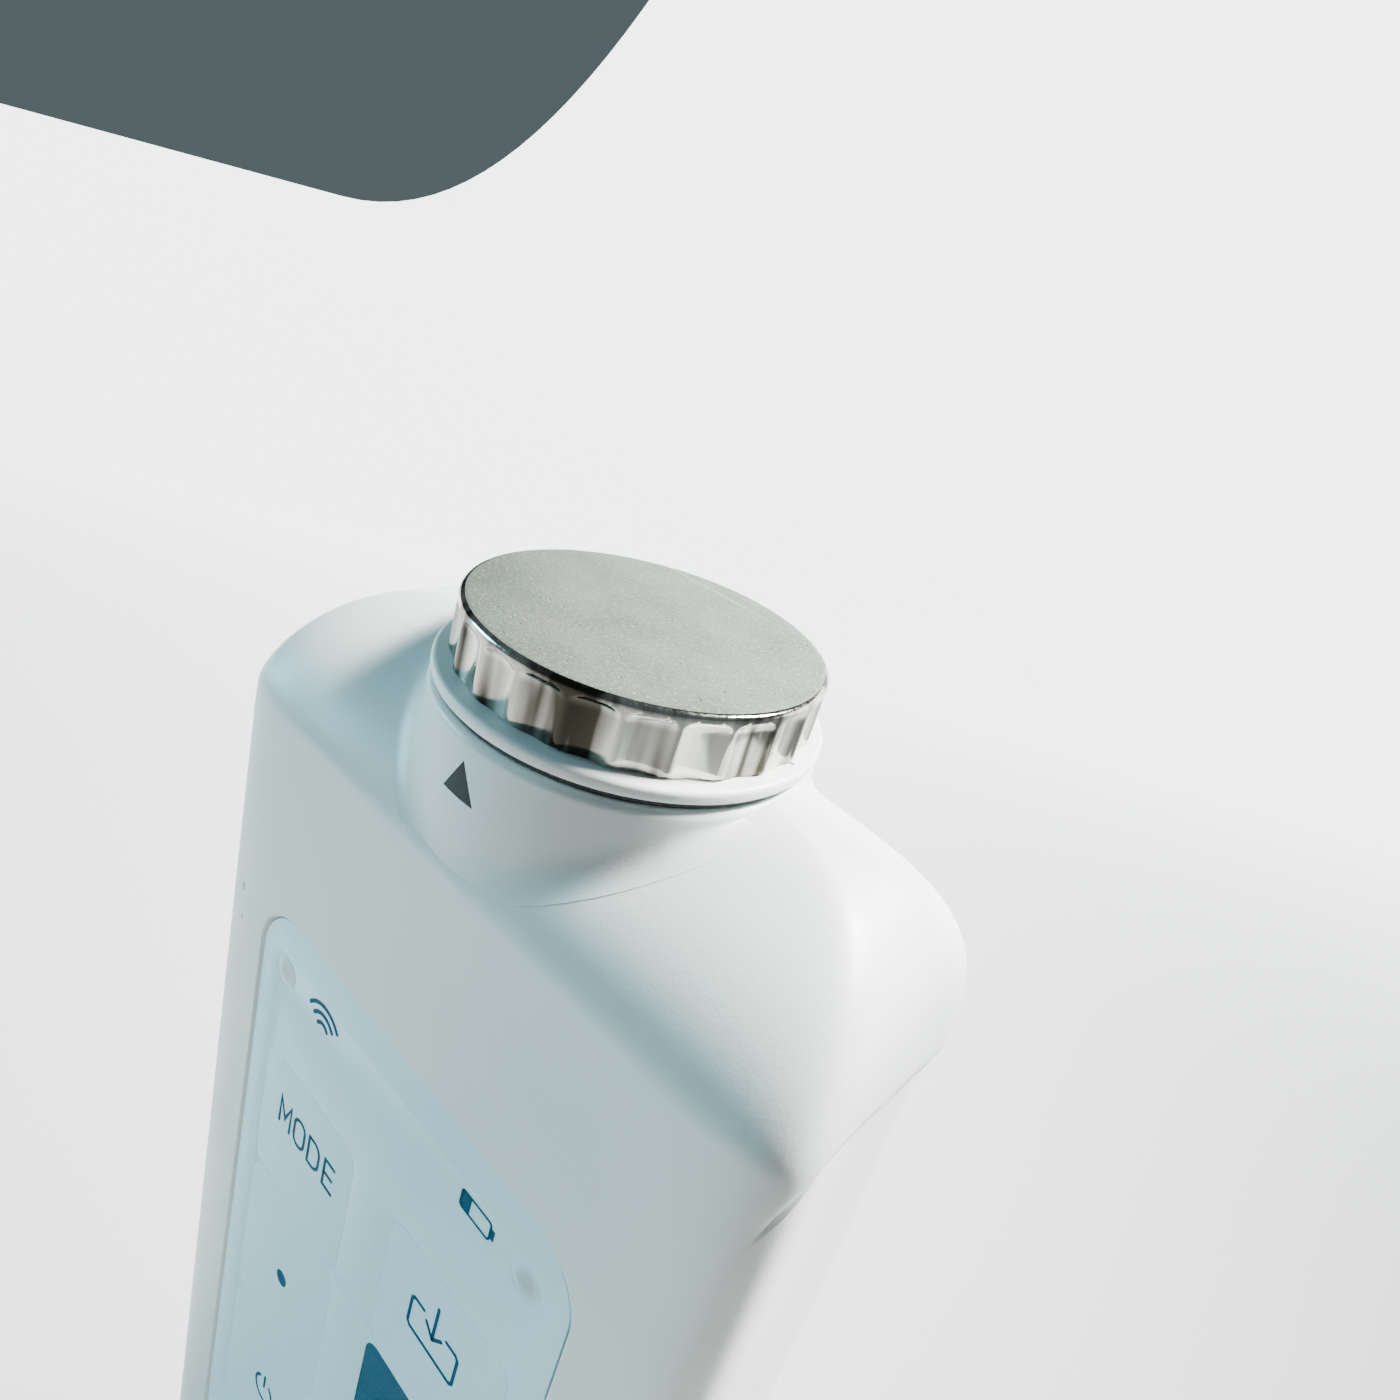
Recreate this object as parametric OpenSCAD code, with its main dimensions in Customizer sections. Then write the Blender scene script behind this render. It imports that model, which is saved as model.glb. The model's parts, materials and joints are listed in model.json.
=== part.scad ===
// Hand-held intraoral x-ray unit: a flask-shaped casing with a screw-capped beam port on top,
// a membrane keypad on the front, an x-ray tube head under the port and two battery cells below.
// Millimetres. Origin: centre of the base, on the surface the unit stands on. +Z is up and the
// keypad faces -Y.

/* [Casing] */
// Height from the base pad to the top of the port cap
total_h = 205; // [200:1:212]
// Half of the casing's width
half_w = 39.1; // [38:0.1:41]
// Half of the casing's depth
half_d = 19.8; // [19.6:0.1:20.4]
// Wall thickness of the two shells
wall = 2.6; // [2.4:0.1:2.8]
// Height of the rounding from the side up to the ridge
side_round_h = 31.5; // [28:0.5:34]
// Height of the rounding from the face up to the ridge
face_round_h = 13.6; // [13:0.1:14.5]
// Where the front and the rear shell meet, behind the middle plane
split_y = 6.5; // [5:0.5:8]

/* [Beam port] */
// Radius of the fluted metal cap
cap_r = 18; // [17.5:0.1:18.5]
// Height of the fluted metal cap
cap_h = 6.3; // [6:0.1:7]
// Number of flutes round the cap
cap_flutes = 24; // [18:1:28]
// Radius of the collar and of the cap's plastic flange
collar_r = 19.4; // [19.2:0.1:19.6]
// Radius of the threaded bore of the port
port_bore_r = 15; // [14.6:0.1:15.2]

/* [Keypad] */
// Width of the keypad film
panel_w = 52.8; // [52:0.2:56]
// Height of the keypad film
panel_h = 101.6; // [101:0.2:104]
// Distance of each key column from the middle
column_x = 13.2; // [13:0.1:14]
// Width of a key
key_w = 19; // [18:0.1:20]
// How far a key travels when it is pressed
key_travel = 0.4; // [0.3:0.05:0.4]

/* [Battery] */
// Radius of a battery cell
cell_r = 9.15; // [9:0.05:9.2]
// Length of a battery cell
cell_h = 65; // [64:0.5:66]

/* [Hidden] */
$fn = 48;

// Casing form
flange_h = 1.4;
cap_gap = 0.3;
body_top = total_h - cap_h - flange_h - cap_gap;
side_round_k = 5.2;
face_round_k = 1.5;
front_corner_k = 10;
back_corner_k = 4;
ring_points = 56;
ring_levels = 15;
base_z = 4;
pad_h = 1.2;
overlap = 1;
fit_gap = 0.05;

// Side grips
grip_sink = 0.35;
grip_t = 1.2;
// Each corner of a grip's outline: [y, z, radius]
grip_corners = [[-18.6, 30, 8], [13.5, 30, 8], [13.5, 178.5, 6], [-18.6, 184.5, 12]];
grip_band_z = [25, 190];

// Port
collar_top = body_top - 0.4;
collar_foot = total_h - 19.8;
collar_rim_r = 0.8;
sleeve_r = 16.6;
sleeve_foot = collar_foot - 3.2;
mark_w = 4.1;
mark_foot = total_h - 14.2;
mark_top = total_h - 10.6;
ear_w = 48;
ear_d = 26.8;
ear_t = 2.4;
window_z = collar_foot + 0.7;
window_t = 1.5;
filter_t = 1.5;
ledge_r = port_bore_r - 2.5;
spigot_r = port_bore_r - 0.3;
shield_r = 13;
seal_edge = 0.6;
flange_z = body_top + cap_gap;
cap_z = flange_z + flange_h + 0.1;
cap_bevel = 0.5;
flute_r = 4.7;
flute_depth = 0.5;
flute_top = cap_z + cap_h - 2.9;

// Tube head
tube_z = 163;
housing_r = 12.4;
housing_l = 60;
glass_r = 8.6;
glass_neck_r = 4.5;
glass_t = 0.8;
glass_l = 52;
target_angle = 20;

// High-voltage supply, below the tube head
supply_z = 118;
core_at = [-29, -6, supply_z];
core_size = [26, 16, 24];
limb = 5;
coil_slot = 4.5;
block_at = [2, -7, supply_z];
block_size = [27, 20, 26];

// Keypad
panel_top = total_h - 44.4;
panel_mid = panel_top - panel_h / 2;
panel_r = 6.5;
film_y = -half_d + 0.3;
film_t = 0.6;
key_face_y = film_y - 0.1;
key_t = 0.5;
key_gap = 0.25;
key_corner_r = 2;
plunger_r = 2;
plunger_gap = 0.3;
light_x = 21.2;
light_z = total_h - 51.3;
light_r = 2;
// Each key: [column, middle height, height]
mode_at = [-column_x, total_h - 72.4, 19.2];
save_at = [column_x, total_h - 72.4, 19.2];
dot_at = [-column_x, total_h - 94.4, 23.6];
expose_at = [column_x, total_h - 94.4, 23.6];
power_at = [-column_x, total_h - 117.4, 21.2];
key_places = [mode_at, save_at, dot_at, expose_at, power_at];

// Boards
board_y = -15;
board_t = 1.6;
board_w = 54;
board_h = 96;
board_mid_z = 110;
board_hole_r = 1.3;
dome_h = 0.8;
dome_r = 4;
plunger_tip_y = board_y - dome_h - plunger_gap - key_travel;
wireless_at = [-24, board_y + board_t, 128];
wireless_size = [17, 2.4, 13];
buzzer_at = [17, 108];
buzzer_r = 5.5;
buzzer_h = 3.2;

// Battery bay
cell_x = 10;
cell_y = 3;
cell_z = 24.2;
cradle_z = 18;
cradle_h = 77;
door_w = 46;
door_z = 16;
door_h = 81;

// Fasteners
screw_places = [for (z = [14, 100, 182]) for (side = [-1, 1]) [side * 31, z]];
boss_r = 3.2;
screw_r = 1.4;
head_r = 2.6;
head_seat_y = 13.8;
base_screw_x = 23.6;
base_post_r = 3.6;
pin_r = 1.2;
pin_pitch = 5;

// Half width and half depth of the casing at height z, drawn in by inset.
function level(z, inset, h) = max(0, min(1, 1 - (body_top - inset - z) / h));
function arch(z, inset, h, k) = pow(1 - pow(level(z, inset, h), k), 1 / k);
function width_at(z, inset) = (half_w - inset) * arch(z, inset, side_round_h, side_round_k);
function depth_at(z, inset) = (half_d - inset) * arch(z, inset, face_round_h, face_round_k);

// A superellipse: near-square corners at the front, full round ones at the back.
function corner_k(t) = sin(t) < 0 ? front_corner_k : back_corner_k;
function power_of(v, k) = sign(v) * pow(abs(v), 2 / k);
function outline(z, inset) = [for (i = [0:ring_points - 1]) let (t = 360 * i / ring_points)
    [width_at(z, inset) * power_of(cos(t), corner_k(t)),
     depth_at(z, inset) * power_of(sin(t), corner_k(t))]];

// Ring heights crowd together towards the ridge, where the form turns fastest.
function ring_z(i, inset) = body_top - inset - 0.02
    - side_round_h * (1 - sin(90 * i / ring_levels));

// A flat rectangle with round corners, centred on the origin.
module rounded_plate(w, h, r) {
    hull() for (x = [-1, 1], y = [-1, 1])
        translate([x * (w / 2 - r), y * (h / 2 - r)]) circle(r = r, $fn = 32);
}

// The casing's outer form drawn in by inset, from height z0 up.
module casing_form(inset, z0) {
    heights = [z0, for (i = [0:ring_levels]) ring_z(i, inset)];
    rings = [for (z = heights) [for (p = outline(z, inset)) [p[0], p[1], z]]];
    n = ring_points;
    last = len(heights) - 1;
    polyhedron(
        points = [for (ring = rings) each ring],
        faces = [
            [for (i = [0:n - 1]) i],
            [for (i = [n - 1:-1:0]) last * n + i],
            for (k = [0:last - 1]) for (i = [0:n - 1]) each let (j = (i + 1) % n)
                [[k * n + i, (k + 1) * n + i, (k + 1) * n + j], [k * n + i, (k + 1) * n + j, k * n + j]]
        ]);
}

// A flat shape drawn in X and Z, standing from y0 to y1.
module front_plate(y0, y1) {
    translate([0, y1, 0]) rotate([90, 0, 0]) linear_extrude(y1 - y0) children();
}

// A rod along Y from y0 to y1.
module rod_y(x, z, r, y0, y1) {
    translate([x, y0, z]) rotate([-90, 0, 0]) cylinder(r = r, h = y1 - y0);
}

// A tapered post along Y, from its wide foot on a shell's wall to its end at y1.
module boss(x, z, foot_y, y1) {
    hull() {
        rod_y(x, z, boss_r, min(foot_y, y1), max(foot_y, y1), $fn = 24);
        rod_y(x, z, boss_r + 0.6, min(foot_y, foot_y + 0.2), max(foot_y, foot_y + 0.2), $fn = 24);
    }
}

// A ring or disc between two radii.
module ring(r_in, r_out, z0, z1) {
    translate([0, 0, z0]) difference() {
        cylinder(r = r_out, h = z1 - z0);
        translate([0, 0, -overlap]) cylinder(r = r_in, h = z1 - z0 + 2 * overlap);
    }
}

// Outline of a side grip in Y and Z, carried through one side wall. Its top edge falls towards the back.
module grip_space(dir, grow) {
    translate([dir > 0 ? 30 : -45, 0, 0]) rotate([90, 0, 90]) linear_extrude(15) hull()
        for (c = grip_corners) let (inward = sign(-2 - c[0]), down = c[1] > 100 ? -1 : 1)
            translate([c[0] + inward * c[2], c[1] + down * c[2]]) circle(r = c[2] + grow, $fn = 32);
}

// An upright band of the casing's wall between two depths below its outer face.
module wall_band(depth_out, depth_in, z0, z1) {
    translate([0, 0, z0]) linear_extrude(z1 - z0) difference() {
        polygon(outline(base_z, depth_out));
        polygon(outline(base_z, depth_in));
    }
}

module grip(dir) {
    intersection() {
        wall_band(grip_sink, grip_sink + grip_t, grip_band_z[0], grip_band_z[1]);
        grip_space(dir, 0);
    }
}

// The shells' common wall, with the pockets of the side grips and the port's seat.
module casing_wall() {
    difference() {
        casing_form(0, base_z);
        casing_form(wall, base_z - overlap);
        for (dir = [-1, 1]) intersection() {
            wall_band(-overlap, grip_sink + grip_t + 2 * fit_gap, grip_band_z[0], grip_band_z[1]);
            grip_space(dir, 3 * fit_gap);
        }
        translate([0, 0, collar_foot - fit_gap]) cylinder(r = collar_r + fit_gap, h = 40, $fn = 144);
        translate([0, 0, sleeve_foot - fit_gap]) cylinder(r = sleeve_r + fit_gap, h = 40, $fn = 144);
    }
}

module half_space(rear) {
    translate([-60, rear ? split_y : split_y - 80, -10]) cube([120, 80, 240]);
}

module front_shell() {
    color("whitesmoke") difference() {
        union() {
            intersection() {
                casing_wall();
                half_space(false);
            }
            for (p = screw_places) boss(p[0], p[1], -half_d + wall - 0.4, split_y);
        }
        front_plate(-half_d - overlap, film_y + film_t) translate([0, panel_mid])
            rounded_plate(panel_w + 0.2, panel_h + 0.2, panel_r + 0.1);
        for (k = key_places) {
            front_plate(-half_d, film_y + film_t + 0.6) translate([k[0], k[1]])
                rounded_plate(key_w, k[2], key_corner_r);
            rod_y(k[0], k[1], plunger_r + 0.5, -half_d, board_y - dome_h);
        }
        for (side = [-1, 1]) rod_y(side * light_x, light_z, light_r, -half_d, board_y - dome_h);
        for (p = screw_places) rod_y(p[0], p[1], screw_r + fit_gap, -9, split_y + overlap);
    }
}

module rear_shell() {
    color("whitesmoke") difference() {
        union() {
            intersection() {
                casing_wall();
                half_space(true);
            }
            for (p = screw_places) boss(p[0], p[1], head_seat_y + 0.6, split_y);
        }
        for (p = screw_places) {
            rod_y(p[0], p[1], screw_r + 0.1, split_y - overlap, half_d + overlap);
            rod_y(p[0], p[1], head_r + 0.2, head_seat_y, half_d + overlap);
        }
        front_plate(split_y + overlap, half_d + overlap) translate([0, door_z + door_h / 2])
            rounded_plate(door_w + 0.3, door_h + 0.3, 4);
    }
}

module side_grip_left() { color("gainsboro") grip(-1); }
module side_grip_right() { color("gainsboro") grip(1); }

module battery_door() {
    color("whitesmoke") difference() {
        intersection() {
            wall_band(0, wall - 0.4, base_z, door_z + door_h + overlap);
            front_plate(split_y + overlap, half_d + overlap) translate([0, door_z + door_h / 2])
                rounded_plate(door_w, door_h, 4);
        }
        for (side = [-1, 1]) door_hole(side, head_r + 0.2, half_d - 1, half_d + overlap);
        for (side = [-1, 1]) door_hole(side, screw_r + 0.1, half_d - 8, half_d + overlap);
    }
}

module door_hole(side, r, y0, y1) {
    rod_y(0, door_z + door_h / 2 + side * (door_h / 2 - 6), r, y0, y1);
}

module door_screws() {
    color("silver") for (side = [-1, 1]) {
        door_hole(side, head_r, half_d - 0.95, half_d - 0.1);
        door_hole(side, screw_r, half_d - 5, half_d - 0.95);
    }
}

module case_screws() {
    color("silver") for (p = screw_places) {
        rod_y(p[0], p[1], head_r, head_seat_y, head_seat_y + 1.6);
        rod_y(p[0], p[1], screw_r, -7, head_seat_y);
    }
}

module base_cap() {
    color("whitesmoke") difference() {
        union() {
            translate([0, 0, pad_h]) linear_extrude(base_z - pad_h) polygon(outline(base_z, 0));
            translate([0, 0, base_z]) linear_extrude(3) polygon(outline(base_z, wall + 0.1));
        }
        translate([0, 0, base_z + 0.6]) linear_extrude(5) polygon(outline(base_z, wall + 2));
        for (i = [-1.5:1:1.5]) translate([i * pin_pitch, 0, 0]) cylinder(r = pin_r + fit_gap, h = 10);
        for (side = [-1, 1]) translate([side * base_screw_x, 0, 0]) {
            cylinder(r = screw_r + 0.1, h = 10);
            cylinder(r = head_r + 0.2, h = pad_h + 1.8);
        }
    }
}

module base_pad() {
    color("dimgray") difference() {
        linear_extrude(pad_h) polygon(outline(base_z, 2.4));
        translate([0, 0, -overlap]) linear_extrude(5) rounded_plate(26, 9, 3);
        for (side = [-1, 1]) translate([side * base_screw_x, 0, -overlap]) cylinder(r = head_r + 0.5, h = 5);
    }
}

module base_screws() {
    color("silver") for (side = [-1, 1]) translate([side * base_screw_x, 0, 0]) {
        translate([0, 0, pad_h + 0.2]) cylinder(r = head_r, h = 1.6);
        translate([0, 0, pad_h + 1.8]) cylinder(r = screw_r, h = 12);
    }
}

module charge_contacts() {
    color("gold") for (i = [-1.5:1:1.5]) translate([i * pin_pitch, 0, 0.5]) cylinder(r = pin_r, h = 6);
}

// Triangle that points up at the cap, drawn in X and Z.
module mark_shape() {
    front_plate(-collar_r - overlap, -half_d / 2)
        polygon([[-mark_w / 2, mark_foot], [mark_w / 2, mark_foot], [0, mark_top]]);
}

module port_collar() {
    rim = [for (t = [0:15:90]) [collar_r - collar_rim_r + collar_rim_r * cos(t),
                                collar_top - collar_rim_r + collar_rim_r * sin(t)]];
    color("whitesmoke") difference() {
        union() {
            rotate_extrude() polygon(concat(
                [[sleeve_r, collar_foot], [collar_r, collar_foot]], rim, [[sleeve_r, collar_top]]));
            translate([-ear_w / 2, -ear_d / 2, collar_foot - ear_t]) cube([ear_w, ear_d, ear_t]);
        }
        translate([0, 0, collar_foot - 5]) cylinder(r = sleeve_r, h = 30);
        difference() {
            mark_shape();
            cylinder(r = collar_r - 0.3, h = total_h);
        }
    }
}

module alignment_mark() {
    color("darkslategray") intersection() {
        mark_shape();
        ring(collar_r - 0.3, collar_r + 0.03, collar_foot, collar_top);
    }
}

module port_sleeve() {
    color("silver") rotate_extrude() polygon([
        [ledge_r, sleeve_foot], [sleeve_r, sleeve_foot], [sleeve_r, collar_top - 0.4],
        [sleeve_r - 0.4, collar_top], [port_bore_r, collar_top], [port_bore_r, window_z],
        [ledge_r, window_z]]);
}

module port_cap() {
    color("silver") difference() {
        rotate_extrude() polygon([[0, cap_z], [cap_r - 0.3, cap_z], [cap_r, cap_z + 0.3],
            [cap_r, total_h - cap_bevel], [cap_r - cap_bevel, total_h], [0, total_h]]);
        for (i = [0:cap_flutes - 1]) rotate(360 / cap_flutes * (i + 0.5))
            translate([cap_r - flute_depth + flute_r, 0, 0]) {
                translate([0, 0, cap_z - overlap]) cylinder(r = flute_r, h = flute_top - cap_z + overlap);
                translate([0, 0, flute_top]) sphere(r = flute_r);
            }
    }
}

module cap_flange() {
    edge = 0.4;
    top = flange_z + flange_h;
    color("whitesmoke") rotate_extrude() polygon([
        [shield_r, collar_foot + 4], [spigot_r, collar_foot + 4], [spigot_r, flange_z],
        [collar_r - edge, flange_z], [collar_r, flange_z + edge], [collar_r, top - edge],
        [collar_r - edge, top], [0, top], [0, flange_z - 1], [shield_r, flange_z - 1]]);
}

module cap_seal() {
    color("dimgray") ring(spigot_r + fit_gap, collar_r - seal_edge, collar_top + 0.1, flange_z - 0.01);
}

module cap_shield() {
    color("slategray") translate([0, 0, collar_foot + 4.5])
        cylinder(r = shield_r - fit_gap, h = flange_z - 1 - fit_gap - collar_foot - 4.5);
}

module beam_window() {
    color("ivory") translate([0, 0, window_z]) cylinder(r = port_bore_r - 0.05, h = window_t);
}

module beam_filter() {
    color("lightgray") translate([0, 0, window_z - filter_t]) cylinder(r = ledge_r - 0.05, h = filter_t);
}

module collimator() {
    foot = tube_z + housing_r + 0.3;
    top = window_z - filter_t;
    color("slategray") rotate_extrude() polygon([
        [4, foot], [8, foot], [8, sleeve_foot - 0.5], [ledge_r - 0.05, sleeve_foot],
        [ledge_r - 0.05, top], [9, top]]);
}

module along_x(x0) { translate([x0, 0, tube_z]) rotate([0, 90, 0]) children(); }

module tube_housing() {
    color("silver") difference() {
        along_x(-housing_l / 2) cylinder(r = housing_r, h = housing_l);
        along_x(-housing_l / 2 + 1.5) cylinder(r = housing_r - 1, h = housing_l - 3);
        translate([0, 0, tube_z]) cylinder(r = 6, h = 20);
    }
}

module lead_liner() {
    color("slategray") difference() {
        along_x(-housing_l / 2 + 1.6) cylinder(r = housing_r - 1.05, h = housing_l - 3.2);
        along_x(-housing_l / 2 + 3) cylinder(r = housing_r - 2.2, h = housing_l - 6);
        translate([0, 0, tube_z]) cylinder(r = 5, h = 20);
    }
}

module tube_envelope() {
    end = glass_l / 2;
    outer = [[glass_neck_r, -end], [glass_r, 5 - end], [glass_r, end - 5], [glass_neck_r, end]];
    inner = [for (i = [3:-1:0]) [outer[i][0] - glass_t, outer[i][1] * 0.995]];
    color("lightcyan") along_x(0) rotate_extrude() polygon(concat(outer, inner));
}

module tube_cathode() {
    color("silver") difference() {
        along_x(-25) union() {
            cylinder(r = 3.6, h = 10);
            translate([0, 0, 5]) cylinder(r = 5, h = 12);
        }
        along_x(-11) cylinder(r = 3, h = 5);
    }
}

module tube_anode() {
    color("peru") difference() {
        along_x(-2) union() {
            cylinder(r = 5.5, h = 21);
            cylinder(r = 3.6, h = 27);
        }
        translate([0, 0, tube_z]) rotate([0, -target_angle, 0]) translate([-20, -10, -20]) cube([20, 20, 40]);
    }
}

// Square-limbed core with a gap on each side of its middle limb for the coil.
module transformer_core() {
    slot = [coil_slot, core_size[1] + 2 * overlap, core_size[2] - 2 * limb];
    color("dimgray") translate(core_at) difference() {
        cube(core_size);
        translate([limb, -overlap, limb]) cube(slot);
        translate([core_size[0] - limb - coil_slot, -overlap, limb]) cube(slot);
    }
}

module transformer_coil() {
    gap = 0.2;
    ends = 3.5;
    color("peru") translate(core_at) difference() {
        translate([limb + gap, -ends, limb + gap])
            cube([core_size[0] - 2 * (limb + gap), core_size[1] + 2 * ends, core_size[2] - 2 * (limb + gap)]);
        translate([limb + coil_slot - 0.1, -overlap, 0])
            cube([core_size[0] - 2 * (limb + coil_slot - 0.1), core_size[1] + 2 * overlap, core_size[2]]);
    }
}

module multiplier_block() {
    color("darkgoldenrod") translate(block_at) difference() {
        cube(block_size);
        for (z = [5, block_size[2] - 5]) translate([block_size[0] / 2, -overlap, z]) rotate([-90, 0, 0])
            cylinder(r = 1.6, h = 30);
    }
}

module control_board() {
    color("darkgreen") difference() {
        front_plate(board_y, board_y + board_t) translate([0, board_mid_z])
            rounded_plate(board_w, board_h, 2);
        for (x = [-23, 23]) for (z = [67, 146])
            rod_y(x, z, board_hole_r, board_y - overlap, board_y + board_t + overlap);
    }
}

module dome_switches() {
    color("silver") for (k = key_places) translate([k[0], board_y, k[1]]) rotate([90, 0, 0])
        cylinder(r1 = dome_r, r2 = dome_r - 1.4, h = dome_h);
}

module status_leds() {
    color("white") for (side = [-1, 1]) translate([side * light_x - 1.4, board_y - 0.7, light_z - 0.7])
        cube([2.8, 0.7, 1.4]);
}

module wireless_module() {
    color("silver") translate(wireless_at) difference() {
        cube(wireless_size);
        translate([2, wireless_size[1] - 0.8, 10]) cube([13, overlap, 2]);
    }
}

module buzzer() {
    color("black") difference() {
        rod_y(buzzer_at[0], buzzer_at[1], buzzer_r, board_y + board_t, board_y + board_t + buzzer_h);
        rod_y(buzzer_at[0], buzzer_at[1], 1, board_y + board_t + 1.5, board_y + board_t + buzzer_h + overlap);
    }
}

module keypad_film() {
    color("lightblue") difference() {
        front_plate(film_y, film_y + film_t) translate([0, panel_mid])
            rounded_plate(panel_w, panel_h, panel_r);
        for (k = key_places) front_plate(-half_d, 0) translate([k[0], k[1]])
            rounded_plate(key_w, k[2], key_corner_r);
        for (side = [-1, 1]) rod_y(side * light_x, light_z, light_r, -half_d, 0);
    }
}

module light_window(side) {
    color("lightgray") rod_y(side * light_x, light_z, light_r - 0.02, film_y, board_y - dome_h - 0.1);
}

module light_window_left() { light_window(-1); }
module light_window_right() { light_window(1); }

module key(at) {
    front_plate(key_face_y, key_face_y + key_t) translate([at[0], at[1]])
        rounded_plate(key_w - 2 * key_gap, at[2] - 2 * key_gap, key_corner_r - key_gap);
    rod_y(at[0], at[1], plunger_r, key_face_y + key_t, plunger_tip_y);
}

module mode_key() { color("lightblue") key(mode_at); }
module save_key() { color("lightblue") key(save_at); }
module dot_key() { color("lightblue") key(dot_at); }
module expose_key() { color("teal") key(expose_at); }
module power_key() { color("lightblue") key(power_at); }

module battery_cells() {
    color("royalblue") for (side = [-1, 1]) translate([side * cell_x, cell_y, cell_z]) union() {
        cylinder(r = cell_r, h = cell_h - 1);
        cylinder(r = 3.5, h = cell_h);
    }
}

module battery_cradle() {
    color("darkgray") difference() {
        union() {
            translate([-21, -8.5, cradle_z]) cube([42, 11.5, cradle_h]);
            for (z = [cradle_z, cradle_z + cradle_h - 5]) translate([-21, -8.5, z]) cube([42, 21, 5]);
            for (side = [-1, 1]) translate([side * base_screw_x, 0, 5]) cylinder(r = base_post_r, h = 18);
            for (side = [-1, 1]) translate([side * 23, 0, 21]) cube([5, 6, 4], center = true);
        }
        for (side = [-1, 1]) translate([side * cell_x, cell_y, cradle_z + 5])
            cylinder(r = cell_r + 0.2, h = cradle_h - 10);
        for (side = [-1, 1]) translate([side * base_screw_x, 0, 4]) cylinder(r = screw_r, h = 12);
    }
}

module battery_contacts() {
    color("gold") for (side = [-1, 1]) translate([side * cell_x, cell_y, 0]) {
        translate([0, 0, cradle_z + 5]) cylinder(r = 5, h = cell_z - cradle_z - 5);
        translate([0, 0, cell_z + cell_h]) cylinder(r = 5, h = cradle_z + cradle_h - 5 - cell_z - cell_h);
    }
}

front_shell();
rear_shell();
side_grip_left();
side_grip_right();
base_cap();
base_pad();
base_screws();
case_screws();
battery_door();
door_screws();
port_collar();
alignment_mark();
port_sleeve();
port_cap();
cap_flange();
cap_seal();
cap_shield();
beam_window();
beam_filter();
collimator();
tube_housing();
lead_liner();
tube_envelope();
tube_cathode();
tube_anode();
transformer_core();
transformer_coil();
multiplier_block();
control_board();
dome_switches();
status_leds();
wireless_module();
buzzer();
keypad_film();
light_window_left();
light_window_right();
mode_key();
save_key();
dot_key();
expose_key();
power_key();
battery_cells();
battery_cradle();
battery_contacts();
charge_contacts();
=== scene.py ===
"""Looks of a hand-held intraoral x-ray unit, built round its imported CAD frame.

Every size below is in millimetres unless its name says otherwise, and meshes turn them into metres.
The casing's form is a superellipse whose half axes shrink towards a ridge. The other outside pieces
are worked out from that form and from the boxes of the CAD nodes.
"""
import json
import logging
import math
from dataclasses import dataclass, field
from enum import Enum

import bmesh
import bpy
import numpy as np
from mathutils import Matrix, Vector


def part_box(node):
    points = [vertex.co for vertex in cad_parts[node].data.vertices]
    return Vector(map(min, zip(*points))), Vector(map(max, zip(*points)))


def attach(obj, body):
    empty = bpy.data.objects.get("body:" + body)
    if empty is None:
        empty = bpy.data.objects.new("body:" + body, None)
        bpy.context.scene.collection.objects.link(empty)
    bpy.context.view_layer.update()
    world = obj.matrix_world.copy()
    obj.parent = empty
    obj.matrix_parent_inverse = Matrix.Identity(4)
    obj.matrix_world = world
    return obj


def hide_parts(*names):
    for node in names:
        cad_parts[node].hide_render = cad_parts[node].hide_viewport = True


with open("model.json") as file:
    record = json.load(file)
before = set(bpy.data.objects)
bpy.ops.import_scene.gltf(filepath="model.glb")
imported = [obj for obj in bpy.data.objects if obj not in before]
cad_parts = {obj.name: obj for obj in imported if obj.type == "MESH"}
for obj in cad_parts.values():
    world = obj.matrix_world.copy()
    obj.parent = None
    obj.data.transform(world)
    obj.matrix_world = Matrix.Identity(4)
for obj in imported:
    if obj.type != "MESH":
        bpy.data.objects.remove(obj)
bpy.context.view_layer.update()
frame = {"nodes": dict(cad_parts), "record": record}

MM = 0.001
KEYS = ("mode_key", "save_key", "dot_key", "expose_key", "power_key")
KEY_GAP = 0.25
KEY_CORNER = 2.0
LAMPS = ("light_window_left", "light_window_right")
PANEL_CORNER = 6.5
log = logging.getLogger("xray_unit")
Socket = bpy.types.NodeSocket


class Side(Enum):
    """A side of the unit, as the sign of X."""

    LEFT = -1
    RIGHT = 1


class Half(Enum):
    """A half of the casing, as the sign of Y from the parting plane."""

    FRONT = -1
    REAR = 1


# ---------------------------------------------------------------- small helpers


def smooth(x: np.ndarray) -> np.ndarray:
    """Eases from 0 to 1 as x goes from 0 to 1, flat outside that range.

    Args:
        x: values to ease.

    Returns:
        Array from 0 to 1.
    """
    t = np.clip(x, 0.0, 1.0)
    return t * t * (3.0 - 2.0 * t)


def node_box(node: str) -> tuple[np.ndarray, np.ndarray]:
    """Gives a CAD node's lowest and highest corners.

    Args:
        node: the CAD node's name.

    Returns:
        Two arrays of three numbers.
    """
    low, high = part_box(node)
    return np.array(low) / MM, np.array(high) / MM


def grid_faces(rows: int, cols: int, closed: bool) -> np.ndarray:
    """Lists the quads of a grid of points kept row after row.

    Args:
        rows: number of rows.
        cols: number of points in a row.
        closed: True where the last point of a row meets its first.

    Returns:
        One row of four indices for each quad.
    """
    width = cols if closed else cols - 1
    i, j = np.meshgrid(np.arange(rows - 1), np.arange(width), indexing="ij")
    k = (j + 1) % cols
    quads = np.stack([i * cols + j, i * cols + k, (i + 1) * cols + k, (i + 1) * cols + j], axis=-1)
    return quads.reshape(-1, 4)


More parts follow.
